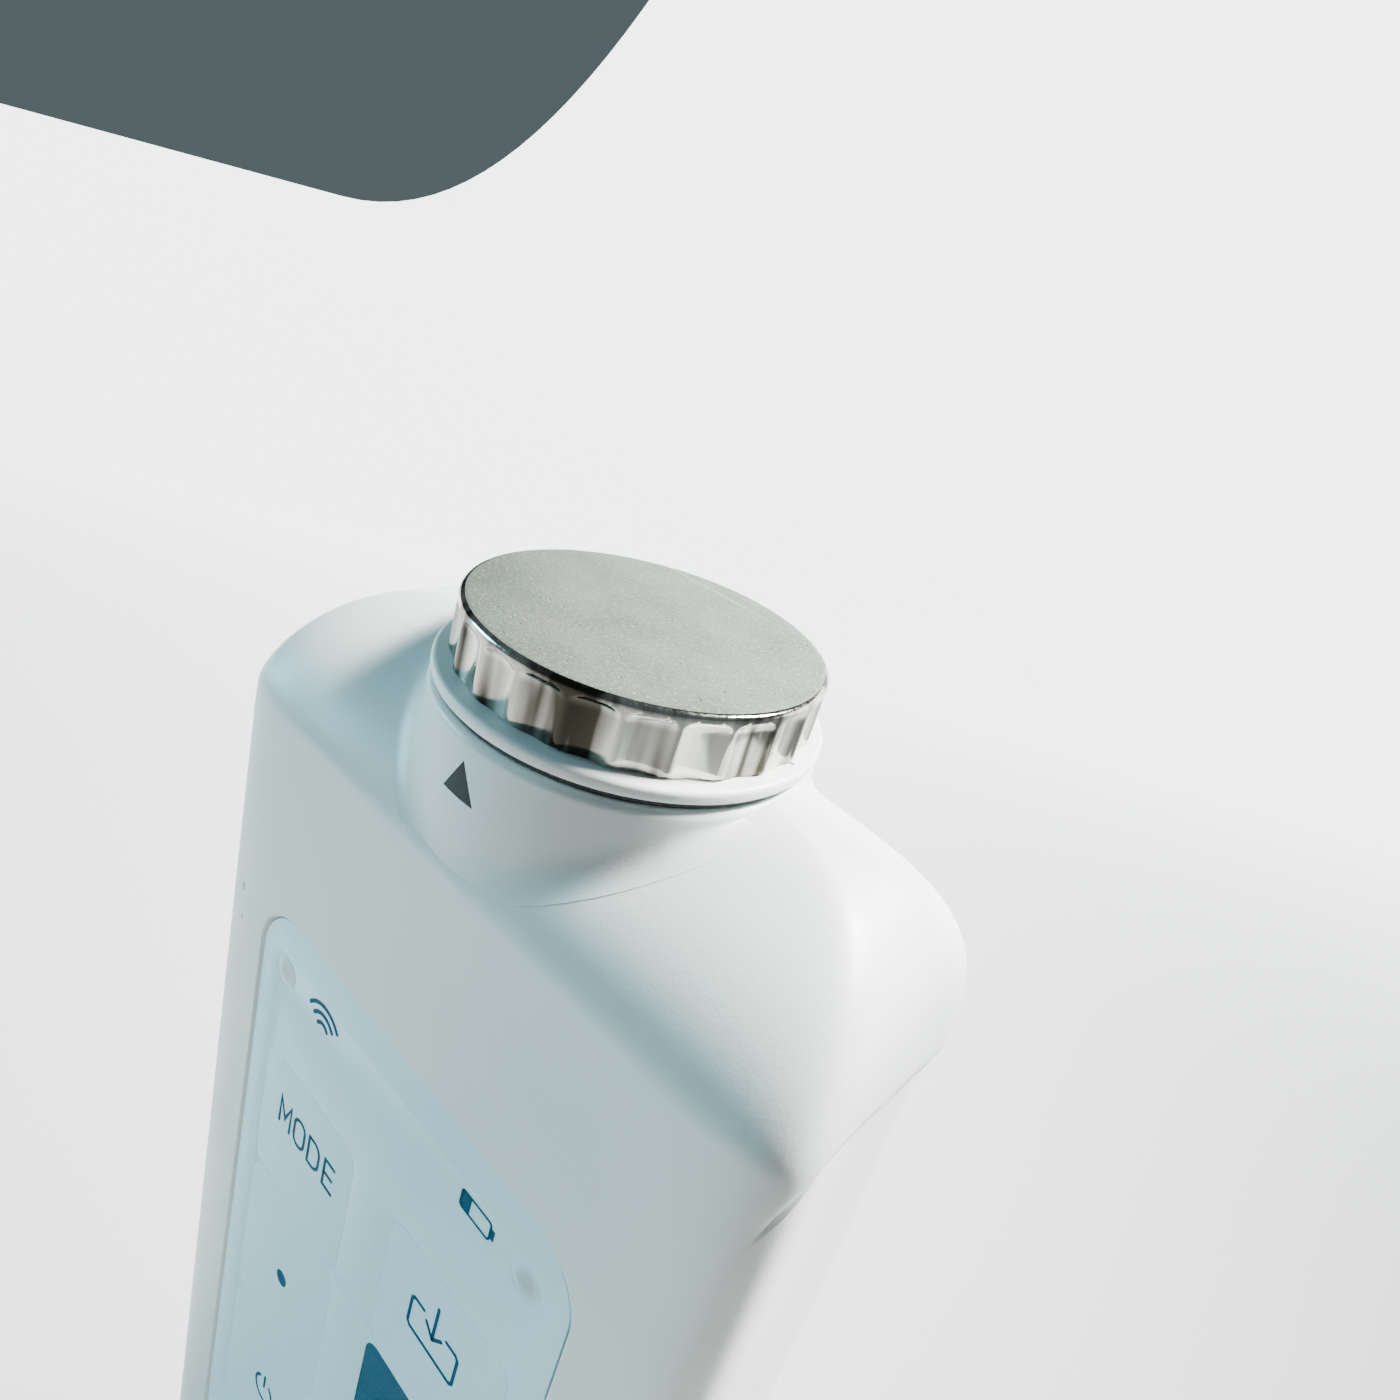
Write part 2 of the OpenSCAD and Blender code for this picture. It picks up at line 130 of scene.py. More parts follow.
def make_mesh(name: str, points: np.ndarray, faces: list, sharp_deg: float = 40.0) -> bpy.types.Object:
    """Makes an object at the origin from points in millimetres, with outward faces.

    Args:
        name: name of the object and its mesh.
        points: array of points, three numbers each.
        faces: lists of indices.
        sharp_deg: edges that turn more than this stay sharp.

    Returns:
        The new object.
    """
    mesh = bpy.data.meshes.new(name)
    mesh.from_pydata((np.asarray(points, float) * MM).tolist(), [], faces)
    obj = bpy.data.objects.new(name, mesh)
    bpy.context.scene.collection.objects.link(obj)
    tidy_mesh(obj, sharp_deg)
    return obj


def tidy_mesh(obj: bpy.types.Object, sharp_deg: float) -> None:
    """Merges doubles, turns faces outwards and shades smoothly but for sharp edges.

    Args:
        obj: the object whose mesh is put right.
        sharp_deg: edges that turn more than this stay sharp.
    """
    work = bmesh.new()
    work.from_mesh(obj.data)
    bmesh.ops.remove_doubles(work, verts=work.verts, dist=2e-6)
    bmesh.ops.dissolve_degenerate(work, dist=1e-7, edges=work.edges)
    bmesh.ops.recalc_face_normals(work, faces=work.faces)
    work.to_mesh(obj.data)
    work.free()
    obj.data.polygons.foreach_set("use_smooth", np.ones(len(obj.data.polygons), bool))
    obj.data.set_sharp_from_angle(angle=math.radians(sharp_deg))
    obj.data.update()


def loft(name: str, rings: np.ndarray, sharp_deg: float = 40.0) -> bpy.types.Object:
    """Carries closed rings into a solid whose two ends are flat faces.

    Args:
        name: name of the object.
        rings: array of rings by points by three.
        sharp_deg: edges that turn more than this stay sharp.

    Returns:
        The new object.
    """
    count, cols = rings.shape[:2]
    faces = grid_faces(count, cols, True).tolist()
    faces.append(list(range(cols)))
    faces.append([(count - 1) * cols + i for i in reversed(range(cols))])
    return make_mesh(name, rings.reshape(-1, 3), faces, sharp_deg)


def revolve(name: str, profile: np.ndarray, cols: int = 160, sharp_deg: float = 35.0) -> bpy.types.Object:
    """Turns a closed profile of radius and height about the Z axis.

    Args:
        name: name of the object.
        profile: array of (radius, height), closed from its last point to its first.
        cols: number of points round the axis.
        sharp_deg: edges that turn more than this stay sharp.

    Returns:
        The new object.
    """
    angle = np.linspace(0.0, 2.0 * math.pi, cols, endpoint=False)
    ring = np.vstack([profile, profile[:1]])
    points = np.stack([ring[:, :1] * np.cos(angle), ring[:, :1] * np.sin(angle),
                       np.broadcast_to(ring[:, 1:], (len(ring), cols))], axis=-1)
    return make_mesh(name, points.reshape(-1, 3), grid_faces(len(ring), cols, True).tolist(), sharp_deg)


def arc(centre: tuple[float, float], radius: float, start: float, end: float, steps: int) -> np.ndarray:
    """Points along an arc, its angles in degrees.

    Args:
        centre: the arc's centre.
        radius: the arc's radius.
        start: first angle.
        end: last angle.
        steps: number of points.

    Returns:
        Array of (first, second) coordinates.
    """
    t = np.radians(np.linspace(start, end, steps))
    return np.stack([centre[0] + radius * np.cos(t), centre[1] + radius * np.sin(t)], axis=-1)


def round_box(width: float, height: float, radius: float, inset: float = 0.0, steps: int = 12) -> np.ndarray:
    """Outline of a rectangle with round corners, drawn in by inset, centred on the origin.

    Args:
        width: the rectangle's width.
        height: the rectangle's height.
        radius: radius of its corners.
        inset: distance by which the outline is drawn in.
        steps: points on each corner.

    Returns:
        Array of (x, z), anticlockwise from the right side's lower corner.
    """
    r = max(radius - inset, 0.05)
    x, z = width / 2 - inset - r, height / 2 - inset - r
    corners = [((x, -z), -90), ((x, z), 0), ((-x, z), 90), ((-x, -z), 180)]
    return np.vstack([arc(c, r, a, a + 90, steps) for c, a in corners])


def circle(x: float, z: float, radius: float, steps: int) -> np.ndarray:
    """Outline of a circle round a middle in x and z, without its starting point twice.

    Args:
        x: the middle's x.
        z: the middle's z.
        radius: the circle's radius.
        steps: number of points.

    Returns:
        Array of (x, z).
    """
    t = np.linspace(0.0, 2.0 * math.pi, steps, endpoint=False)
    return np.stack([x + radius * np.cos(t), z + radius * np.sin(t)], axis=-1)


def at_depth(line: np.ndarray, y: float) -> np.ndarray:
    """Stands an outline of (x, z) up at a depth, as a ring of points.

    Args:
        line: the outline, in x and z.
        y: the depth.

    Returns:
        Array of points, three numbers each.
    """
    return np.stack([line[:, 0], np.full(len(line), y), line[:, 1]], axis=-1)


def key_window(low: np.ndarray, high: np.ndarray, inset: float) -> np.ndarray:
    """Outline of the opening round a key, drawn in by inset.

    Args:
        low: the key's lowest corner.
        high: the key's highest corner.
        inset: distance by which the outline is drawn in.

    Returns:
        Array of (x, z).
    """
    middle, size = (low + high) / 2, high - low + 2 * KEY_GAP
    return round_box(size[0], size[2], KEY_CORNER, inset, 14) + middle[[0, 2]]


def round_box_distance(x: np.ndarray, z: np.ndarray, width: float, height: float,
                       radius: float) -> np.ndarray:
    """Signed distance to a rectangle with round corners, negative inside.

    The distance is that of the corner circle's centre box, less the corner's radius.

    Args:
        x: first coordinates from the rectangle's centre.
        z: second coordinates from the rectangle's centre.
        width: the rectangle's width.
        height: the rectangle's height.
        radius: radius of its corners.

    Returns:
        Array of distances.
    """
    qx = np.abs(x) - width / 2 + radius
    qz = np.abs(z) - height / 2 + radius
    return np.hypot(np.maximum(qx, 0), np.maximum(qz, 0)) + np.minimum(np.maximum(qx, qz), 0) - radius


def rod(line: np.ndarray, y0: float, y1: float) -> bpy.types.Object:
    """Makes a straight rod along Y with this outline, to cut with.

    Args:
        line: the rod's outline, in x and z.
        y0: depth where it starts.
        y1: depth where it ends.

    Returns:
        The rod.
    """
    return loft("rod", np.array([at_depth(line, y0), at_depth(line, y1)]), 180.0)


def boolean(obj: bpy.types.Object, cutter: bpy.types.Object) -> None:
    """Cuts one closed mesh out of another and removes the cutter.

    Args:
        obj: the object that is cut.
        cutter: the object that is taken away.
    """
    step = obj.modifiers.new("cut", "BOOLEAN")
    step.operation = "DIFFERENCE"
    step.solver = "EXACT"
    step.object = cutter
    bpy.context.view_layer.update()
    result = bpy.data.meshes.new_from_object(obj.evaluated_get(bpy.context.evaluated_depsgraph_get()))
    obj.modifiers.clear()
    old = obj.data
    obj.data = result
    bpy.data.meshes.remove(old)
    obj.data.name = obj.name
    bpy.data.objects.remove(cutter)


def dress(obj: bpy.types.Object, body: str, slot: str, *nodes: str) -> None:
    """Ties a piece to its CAD body and hides the nodes that it stands for.

    Args:
        obj: the piece.
        body: the CAD body that it moves with.
        slot: the record's material slot; not used.
        *nodes: CAD nodes that the piece replaces.
    """
    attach(obj, body)
    if nodes:
        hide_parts(*nodes)
    log.info("%s: %d faces, on %s", obj.name, len(obj.data.polygons), body)


# ---------------------------------------------------------------- finishes


class Paint:
    """A node tree in the making, with short calls for the nodes that the finishes share."""

    def __init__(self, name: str) -> None:
        """Starts a material with a Principled shader and Object coordinates.

        Args:
            name: the material's name.
        """
        self.material = bpy.data.materials.new(name)
        self.material.use_nodes = True
        self.tree = self.material.node_tree
        self.shader = self.tree.nodes["Principled BSDF"]
        self.place = self.tree.nodes.new("ShaderNodeTexCoord").outputs["Object"]

    def link(self, source: Socket, target: Socket) -> None:
        """Joins an output socket to an input socket."""
        self.tree.links.new(source, target)

    def mapping(self, scale: tuple[float, float, float],
                turn: tuple[float, float, float] = (0, 0, 0)) -> Socket:
        """Stretches and turns the Object coordinates.

        Args:
            scale: factor along each axis.
            turn: rotation about each axis, in radians.

        Returns:
            The socket with the new coordinates.
        """
        node = self.tree.nodes.new("ShaderNodeMapping")
        node.inputs["Scale"].default_value = scale
        node.inputs["Rotation"].default_value = turn
        self.link(self.place, node.inputs["Vector"])
        return node.outputs["Vector"]

    def noise(self, size_mm: float, detail: float = 3.0, roughness: float = 0.55,
              place: Socket | None = None) -> Socket:
        """Noise whose features are about size_mm across.

        Args:
            size_mm: size of the features.
            detail: number of finer layers.
            roughness: weight of the finer layers.
            place: coordinates, or None for the plain Object coordinates.

        Returns:
            The noise's value socket.
        """
        node = self.tree.nodes.new("ShaderNodeTexNoise")
        node.inputs["Scale"].default_value = 1.0 / (size_mm * MM)
        node.inputs["Detail"].default_value = detail
        node.inputs["Roughness"].default_value = roughness
        self.link(place or self.place, node.inputs["Vector"])
        return node.outputs["Fac"]

    def cells(self, size_mm: float, place: Socket | None = None) -> tuple[Socket, Socket]:
        """Cells about size_mm across.

        Args:
            size_mm: size of the cells.
            place: coordinates, or None for the plain Object coordinates.

        Returns:
            The sockets with the distance from a cell's middle and with its random colour.
        """
        node = self.tree.nodes.new("ShaderNodeTexVoronoi")
        node.inputs["Scale"].default_value = 1.0 / (size_mm * MM)
        self.link(place or self.place, node.inputs["Vector"])
        return node.outputs["Distance"], node.outputs["Color"]

    def ramp(self, value: Socket, low: float, high: float, start: float = 0.0,
             end: float = 1.0) -> Socket:
        """Maps a value's range low to high onto start to end, and holds it there.

        Args:
            value: the socket that is mapped.
            low: value that gives start.
            high: value that gives end.
            start: result at low.
            end: result at high.

        Returns:
            The result's socket.
        """
        node = self.tree.nodes.new("ShaderNodeMapRange")
        node.inputs["From Min"].default_value = low
        node.inputs["From Max"].default_value = high
        node.inputs["To Min"].default_value = start
        node.inputs["To Max"].default_value = end
        self.link(value, node.inputs["Value"])
        return node.outputs["Result"]

    def times(self, a: Socket, b: Socket) -> Socket:
        """Multiplies two values.

        Args:
            a: the first socket.
            b: the second socket.

        Returns:
            The product's socket.
        """
        node = self.tree.nodes.new("ShaderNodeMath")
        node.operation = "MULTIPLY"
        self.link(a, node.inputs[0])
        self.link(b, node.inputs[1])
        return node.outputs["Value"]

    def mix(self, factor: Socket, first: tuple | Socket, second: tuple | Socket) -> Socket:
        """Goes from one colour to another by a factor.

        Args:
            factor: the socket that chooses between them.
            first: a colour, or a socket with one, at factor 0.
            second: a colour, or a socket with one, at factor 1.

        Returns:
            The colour's socket.
        """
        node = self.tree.nodes.new("ShaderNodeMix")
        node.data_type = "RGBA"
        self.link(factor, node.inputs["Factor"])
        for value, socket in ((first, node.inputs["A"]), (second, node.inputs["B"])):
            colour_in = [s for s in node.inputs if s.name == socket.name and s.type == "RGBA"][0]
            if isinstance(value, Socket):
                self.link(value, colour_in)
            else:
                colour_in.default_value = (*value, 1.0)
        return [s for s in node.outputs if s.type == "RGBA"][0]

    def bump(self, height: Socket, depth_mm: float, strength: float = 1.0,
             after: Socket | None = None) -> Socket:
        """Presses a height into the surface.

        Args:
            height: the height's socket, from 0 to 1.
            depth_mm: depth that a height of 1 stands for.
            strength: how much of it is used.
            after: normal socket of an earlier bump, or None.

        Returns:
            The normal's socket.
        """
        node = self.tree.nodes.new("ShaderNodeBump")
        node.inputs["Distance"].default_value = depth_mm * MM
        node.inputs["Strength"].default_value = strength
        self.link(height, node.inputs["Height"])
        if after is not None:
            self.link(after, node.inputs["Normal"])
        return node.outputs["Normal"]


@dataclass(frozen=True)
class MouldedPlastic:
    """Satin moulded plastic with a fine spark texture, faint cloudiness and a few specks of lint."""

    name: str
    light: tuple[float, float, float]
    shade: tuple[float, float, float]
    roughness: float = 0.38
    grain_mm: float = 0.28
    grain_depth: float = 0.012
    lint: float = 0.7
    subsurface: float = 0.0
    cloud_mm: float = 22.0
    lint_cell_mm: float = 5.5
    lint_grey: tuple[float, float, float] = (0.12, 0.14, 0.14)

    def build(self) -> bpy.types.Material:
        """Makes the material."""
        paint = Paint(self.name)
        cloud = paint.noise(self.cloud_mm, 2.0)
        tint = paint.mix(paint.ramp(cloud, 0.35, 0.65), self.light, self.shade)
        near, colour = paint.cells(self.lint_cell_mm, paint.mapping((1.0, 1.0, 0.55), (0.4, 0.2, 0.7)))
        chance = paint.ramp(colour, 0.62, 0.63)
        speck = paint.times(paint.ramp(near, 0.075, 0.05), chance)
        tint = paint.mix(paint.ramp(speck, 0.0, 1.0, 0.0, self.lint), tint, self.lint_grey)
        paint.link(tint, paint.shader.inputs["Base Color"])
        grain = paint.noise(self.grain_mm, 2.0)
        paint.link(paint.ramp(paint.noise(6.0, 4.0), 0.3, 0.7, self.roughness - 0.05, self.roughness + 0.06),
                   paint.shader.inputs["Roughness"])
        paint.link(paint.bump(grain, self.grain_depth), paint.shader.inputs["Normal"])
        paint.shader.inputs["IOR"].default_value = 1.5
        if self.subsurface:
            paint.shader.inputs["Subsurface Weight"].default_value = self.subsurface
            paint.shader.inputs["Subsurface Radius"].default_value = (1.0, 1.0, 1.0)
            paint.shader.inputs["Subsurface Scale"].default_value = 1.2 * MM
        return paint.material


@dataclass(frozen=True)
class BlastedMetal:
    """Bead-blasted metal with a fine sparkle, small dark pits and a few light scratches."""

    name: str
    light: tuple[float, float, float] = (0.37, 0.45, 0.37)
    shade: tuple[float, float, float] = (0.26, 0.32, 0.26)
    roughness: float = 0.42
    pit_cell_mm: float = 0.9
    pit_grey: tuple[float, float, float] = (0.12, 0.13, 0.12)
    spark_mm: float = 0.42
    spark_light: tuple[float, float, float] = (0.66, 0.70, 0.63)
    scratch_mm: float = 9.0
    scratch_light: tuple[float, float, float] = (0.75, 0.76, 0.73)
    pit_depth: float = 0.03

    def build(self) -> bpy.types.Material:
        """Makes the material."""
        paint = Paint(self.name)
        tint = paint.mix(paint.ramp(paint.noise(7.0, 5.0, 0.65), 0.35, 0.68), self.light, self.shade)
        near, colour = paint.cells(self.pit_cell_mm)
        pit = paint.times(paint.ramp(near, 0.22, 0.1), paint.ramp(colour, 0.68, 0.70))
        tint = paint.mix(paint.ramp(pit, 0.0, 1.0, 0.0, 0.55), tint, self.pit_grey)
        spark = paint.noise(self.spark_mm, 3.0, 0.75)
        tint = paint.mix(paint.ramp(spark, 0.52, 0.66, 0.0, 0.7), tint, self.spark_light)
        along = paint.mapping((0.12, 6.0, 1.0), (0.0, 0.0, -0.5))
        scratch = paint.noise(self.scratch_mm, 2.0, 0.5, along)
        line = paint.ramp(scratch, 0.66, 0.69)
        tint = paint.mix(paint.ramp(line, 0.0, 1.0, 0.0, 0.4), tint, self.scratch_light)
        paint.link(tint, paint.shader.inputs["Base Color"])
        paint.shader.inputs["Metallic"].default_value = 1.0
        fine = paint.noise(0.22, 3.0, 0.7)
        paint.link(paint.ramp(fine, 0.3, 0.7, self.roughness - 0.08, self.roughness + 0.1),
                   paint.shader.inputs["Roughness"])
        normal = paint.bump(fine, 0.02)
        raised = paint.ramp(pit, 0.0, 1.0, 1.0, 0.0)
        paint.link(paint.bump(raised, self.pit_depth, 1.0, normal), paint.shader.inputs["Normal"])
        return paint.material


@dataclass(frozen=True)
class PolishedMetal:
    """Turned and polished metal with upright draw marks, and upright light and dark streaks of painted
    reflection in its base colour.
    """

    name: str
    # light and shade are the two colours of the painted reflection streaks in the base colour
    light: tuple[float, float, float] = (0.52, 0.51, 0.47)
    shade: tuple[float, float, float] = (0.36, 0.35, 0.32)
    roughness: float = 0.12
    marks_mm: tuple[float, float, float] = (0.35, 0.35, 9.0)
    # width round the metal of the painted reflection streaks
    reflection_streak_mm: float = 3.2

    def build(self) -> bpy.types.Material:
        """Makes the material."""
        paint = Paint(self.name)
        # painted reflection: light and dark streaks up the metal, mixed into the base colour
        reflection_streak = paint.noise(self.reflection_streak_mm, 2.0, 0.6, paint.mapping((1.0, 1.0, 0.12)))
        paint.link(paint.mix(paint.ramp(reflection_streak, 0.42, 0.62), self.light, self.shade),
                   paint.shader.inputs["Base Color"])
        paint.shader.inputs["Metallic"].default_value = 1.0
        stretch = tuple(1.0 / size for size in self.marks_mm)
        marks = paint.noise(1.0, 3.0, 0.6, paint.mapping(stretch))
        paint.link(paint.ramp(marks, 0.3, 0.7, self.roughness - 0.05, self.roughness + 0.09),
                   paint.shader.inputs["Roughness"])
        paint.link(paint.bump(marks, 0.006), paint.shader.inputs["Normal"])
        return paint.material


@dataclass(frozen=True)
class PlainFinish:
    """A finish for pieces inside or small: two tints, a grain and a roughness that varies."""

    name: str
    light: tuple[float, float, float]
    shade: tuple[float, float, float]
    roughness: float = 0.4
    metallic: float = 0.0
    grain_mm: float = 0.5
    grain_depth: float = 0.02
    clear: float = 0.0
    shine: float = 0.5

    def build(self) -> bpy.types.Material:
        """Makes the material."""
        paint = Paint(self.name)
        paint.link(paint.mix(paint.ramp(paint.noise(6.0, 4.0), 0.35, 0.65), self.light, self.shade),
                   paint.shader.inputs["Base Color"])
        paint.shader.inputs["Metallic"].default_value = self.metallic
        paint.shader.inputs["Transmission Weight"].default_value = self.clear
        paint.shader.inputs["Specular IOR Level"].default_value = self.shine
        grain = paint.noise(self.grain_mm, 3.0)
        paint.link(paint.ramp(grain, 0.3, 0.7, max(self.roughness - 0.06, 0.02), self.roughness + 0.08),
                   paint.shader.inputs["Roughness"])
        paint.link(paint.bump(grain, self.grain_depth), paint.shader.inputs["Normal"])
        return paint.material


@dataclass(frozen=True)
class LampLens:
    """Film over a lamp window: clear grey in the middle that fades into the film's colour."""

    name: str
    centre: tuple[float, float, float]
    film: tuple[float, float, float]
    lamp: tuple[float, float, float]
    radius: float

    def build(self) -> bpy.types.Material:
        """Makes the material. The fade follows the distance from the window's centre."""
        paint = Paint(self.name)
        node = paint.tree.nodes.new("ShaderNodeVectorMath")
        node.operation = "DISTANCE"
        paint.link(paint.place, node.inputs[0])
        node.inputs[1].default_value = [c * MM for c in self.centre]
        fade = paint.ramp(node.outputs["Value"], 0.35 * self.radius * MM, 0.98 * self.radius * MM)
        paint.link(paint.mix(fade, self.lamp, self.film), paint.shader.inputs["Base Color"])
        paint.link(paint.ramp(paint.noise(0.3), 0.3, 0.7, 0.3, 0.4), paint.shader.inputs["Roughness"])
        return paint.material


@dataclass(frozen=True)
class LitPaper:
    """Pale paper that is lit from behind more and more with its distance beyond the unit."""

    name: str
    colour: tuple[float, float, float]
    beyond: tuple[float, float, float] = (-0.566, 0.824, 0.0)
    near_m: float = 0.0
    far_m: float = 0.5
    glow: float = 4.5

    def build(self) -> bpy.types.Material:
        """Makes the material."""
        paint = Paint(self.name)
        grain = paint.noise(0.8, 3.0)
        shade = tuple(0.98 * c for c in self.colour)
        paint.link(paint.mix(grain, self.colour, shade), paint.shader.inputs["Base Color"])
        paint.link(paint.ramp(grain, 0.3, 0.7, 0.85, 0.95), paint.shader.inputs["Roughness"])
        away = paint.tree.nodes.new("ShaderNodeVectorMath")
        away.operation = "DOT_PRODUCT"
        paint.link(paint.place, away.inputs[0])
        away.inputs[1].default_value = self.beyond
        paint.shader.inputs["Emission Color"].default_value = (0.97, 1.0, 1.0, 1.0)
        paint.link(paint.ramp(away.outputs["Value"], self.near_m, self.far_m, 0.08, self.glow),
                   paint.shader.inputs["Emission Strength"])
        return paint.material


WHITE = (0.70, 0.77, 0.76)
WHITE_SHADE = (0.66, 0.735, 0.725)
FILM = (0.54, 0.86, 0.95)
FILM_SHADE = (0.52, 0.84, 0.93)
TEAL = (0.0, 0.075, 0.14)
LAMP_GREY = (0.40, 0.50, 0.53)


class Finishes:
    """Every finish of the unit, made once and found by the record's slot name."""

    def __init__(self) -> None:
        """Builds the materials."""
        recipes = [
            MouldedPlastic("casing_white", WHITE, WHITE_SHADE),
            MouldedPlastic("grip_white", (0.76, 0.80, 0.785), (0.73, 0.775, 0.76), 0.46, 0.4, 0.02),
            MouldedPlastic("collar_white", WHITE, WHITE_SHADE, 0.36),
            MouldedPlastic("flange_white", (0.78, 0.82, 0.81), (0.70, 0.74, 0.73), 0.42, 0.5, 0.03, 0.9),
            MouldedPlastic("keypad_film", FILM, FILM_SHADE, 0.40, 0.2, 0.008, 0.35),
            PlainFinish("key_teal", (0.0, 0.085, 0.15), (0.0, 0.078, 0.14), 0.5, 0.0, 0.2, 0.01, 0.0, 0.15),
            PlainFinish("print_teal", TEAL, (0.0, 0.07, 0.13), 0.6, 0.0, 0.15, 0.004, 0.0, 0.1),
            PlainFinish("mark_grey", (0.014, 0.026, 0.027), (0.01, 0.019, 0.02), 0.62, 0.0, 0.25, 0.01,
                        0.0, 0.3),
            BlastedMetal("cap_metal"),
            # the cap's polished side: near-black and light streaks of painted reflection
            PolishedMetal("cap_polished", (0.66, 0.64, 0.58), (0.05, 0.045, 0.035)),
            PolishedMetal("steel", (0.6, 0.61, 0.61), (0.5, 0.51, 0.51), 0.28, (2.0, 2.0, 0.4)),
            PlainFinish("aluminium", (0.70, 0.71, 0.72), (0.62, 0.63, 0.64), 0.34, 1.0, 0.3, 0.01),
            PlainFinish("lead", (0.20, 0.21, 0.23), (0.15, 0.16, 0.18), 0.55, 0.9, 1.2, 0.05),
            PlainFinish("copper", (0.62, 0.30, 0.17), (0.5, 0.23, 0.12), 0.3, 1.0, 0.4, 0.01),
            PlainFinish("ferrite", (0.05, 0.05, 0.055), (0.035, 0.035, 0.04), 0.62, 0.2, 0.5, 0.03),
            PlainFinish("tube_glass", (0.85, 0.92, 0.93), (0.8, 0.88, 0.9), 0.07, 0.0, 4.0, 0.002, 0.85),
            PlainFinish("potting_resin", (0.22, 0.13, 0.05), (0.17, 0.1, 0.035), 0.35, 0.0, 3.0, 0.05),
            PlainFinish("board_green", (0.012, 0.11, 0.05), (0.009, 0.085, 0.04), 0.32, 0.0, 0.8, 0.02),
            PlainFinish("component_black", (0.02, 0.02, 0.022), (0.014, 0.014, 0.016), 0.5, 0.0, 0.3, 0.02),
            PlainFinish("contact_gold", (0.80, 0.56, 0.20), (0.7, 0.48, 0.16), 0.25, 1.0, 0.4, 0.006),
            PlainFinish("cell_wrap", (0.03, 0.09, 0.24), (0.02, 0.07, 0.2), 0.25, 0.0, 2.0, 0.01),
            PlainFinish("pad_rubber", (0.035, 0.038, 0.04), (0.025, 0.028, 0.03), 0.72, 0.0, 0.35, 0.05),
            PlainFinish("seal_rubber", (0.02, 0.02, 0.022), (0.014, 0.014, 0.016), 0.6, 0.0, 0.3, 0.02),
            PlainFinish("window_resin", (0.75, 0.75, 0.68), (0.7, 0.7, 0.63), 0.3, 0.0, 1.0, 0.01),
        ]
        self.made = {recipe.name: recipe.build() for recipe in recipes}

    def __getitem__(self, slot: str) -> bpy.types.Material:
        """Finds a finish by its slot name."""
        return self.made[slot]

    def put(self, obj: bpy.types.Object, *slots: str) -> None:
        """Gives an object these finishes, in the order of its faces' material numbers.

        Args:
            obj: the object.
            *slots: slot names.
        """
        obj.data.materials.clear()
        for slot in slots:
            obj.data.materials.append(self.made[slot])


# ---------------------------------------------------------------- the casing's form


@dataclass(frozen=True)
class CasingForm:
    """Outer form of the casing: superellipse rings whose half axes shrink towards the ridge."""

    half_w: float
    half_d: float
    top: float
    side_round_h: float = 31.5
    side_round_k: float = 5.2
    face_round_h: float = 13.6
    face_round_k: float = 1.5
    front_corner_k: float = 10.0
    back_corner_k: float = 4.0

    def arch(self, z: np.ndarray, height: float, k: float) -> np.ndarray:
        """Share of a half axis left at z: (1 - h^k)^(1/k), where h is how far z is up the rounding.

        Args:
            z: heights.
            height: height of the rounding.
            k: its exponent.

        Returns:
            Array from 0 to 1.
        """
        h = np.clip(1.0 - (self.top - z) / height, 0.0, 1.0)
        return (1.0 - h**k) ** (1.0 / k)

    def axes(self, z: np.ndarray) -> tuple[np.ndarray, np.ndarray]:
        """Half width and half depth at each height.

        Args:
            z: heights.

        Returns:
            Half widths and half depths.
        """
        return (self.half_w * self.arch(z, self.side_round_h, self.side_round_k),
                self.half_d * self.arch(z, self.face_round_h, self.face_round_k))

    def ring(self, z: float, t: np.ndarray, inset: float = 0.0) -> np.ndarray:
        """One ring of points: x = a sgn(cos t)|cos t|^(2/k), and y likewise with sin.

        Args:
            z: the ring's height.
            t: angles round the ring.
            inset: distance by which both half axes are drawn in.

        Returns:
            Array of points.
        """
        a, b = self.axes(np.array(float(z)))
        k = np.where(np.sin(t) < 0, self.front_corner_k, self.back_corner_k)
        c, s = np.cos(t), np.sin(t)
        x = max(a - inset, 0.01) * np.sign(c) * np.abs(c) ** (2.0 / k)
        y = max(b - inset, 0.01) * np.sign(s) * np.abs(s) ** (2.0 / k)
        return np.stack([x, y, np.full_like(x, z)], axis=-1)

    def side_x(self, y: np.ndarray, z: np.ndarray) -> np.ndarray:
        """Half width of the form at a depth and height, from the superellipse's equation.

        Args:
            y: depths.
            z: heights.

        Returns:
            Array of half widths.
        """
        a, b = self.axes(z)
        k = np.where(y < 0, self.front_corner_k, self.back_corner_k)
        share = np.clip(np.abs(y) / np.maximum(b, 0.01), 0.0, 1.0)
        return a * (1.0 - share**k) ** (1.0 / k)

    def back_y(self, x: np.ndarray, z: np.ndarray) -> np.ndarray:
        """Depth of the form's rear face at a width and height.

        Args:
            x: places across.
            z: heights.

        Returns:
            Array of depths.
        """
        a, b = self.axes(z)
        share = np.clip(np.abs(x) / np.maximum(a, 0.01), 0.0, 1.0)
        return b * (1.0 - share**self.back_corner_k) ** (1.0 / self.back_corner_k)

    def roof_z(self, x: np.ndarray, y: np.ndarray) -> np.ndarray:
        """Height of the form over each place, found by halving an interval.

        Args:
            x: places across.
            y: depths.

        Returns:
            Array of heights.
        """
        k = np.where(y < 0, self.front_corner_k, self.back_corner_k)
        low = np.full_like(x, self.top - self.side_round_h)
        high = np.full_like(x, self.top)
        for _ in range(40):
            mid = (low + high) / 2
            a, b = self.axes(mid)
            inside = (np.abs(x) / np.maximum(a, 1e-6)) ** k + (np.abs(y) / np.maximum(b, 1e-6)) ** k < 1
            low = np.where(inside, mid, low)
            high = np.where(inside, high, mid)
        return (low + high) / 2


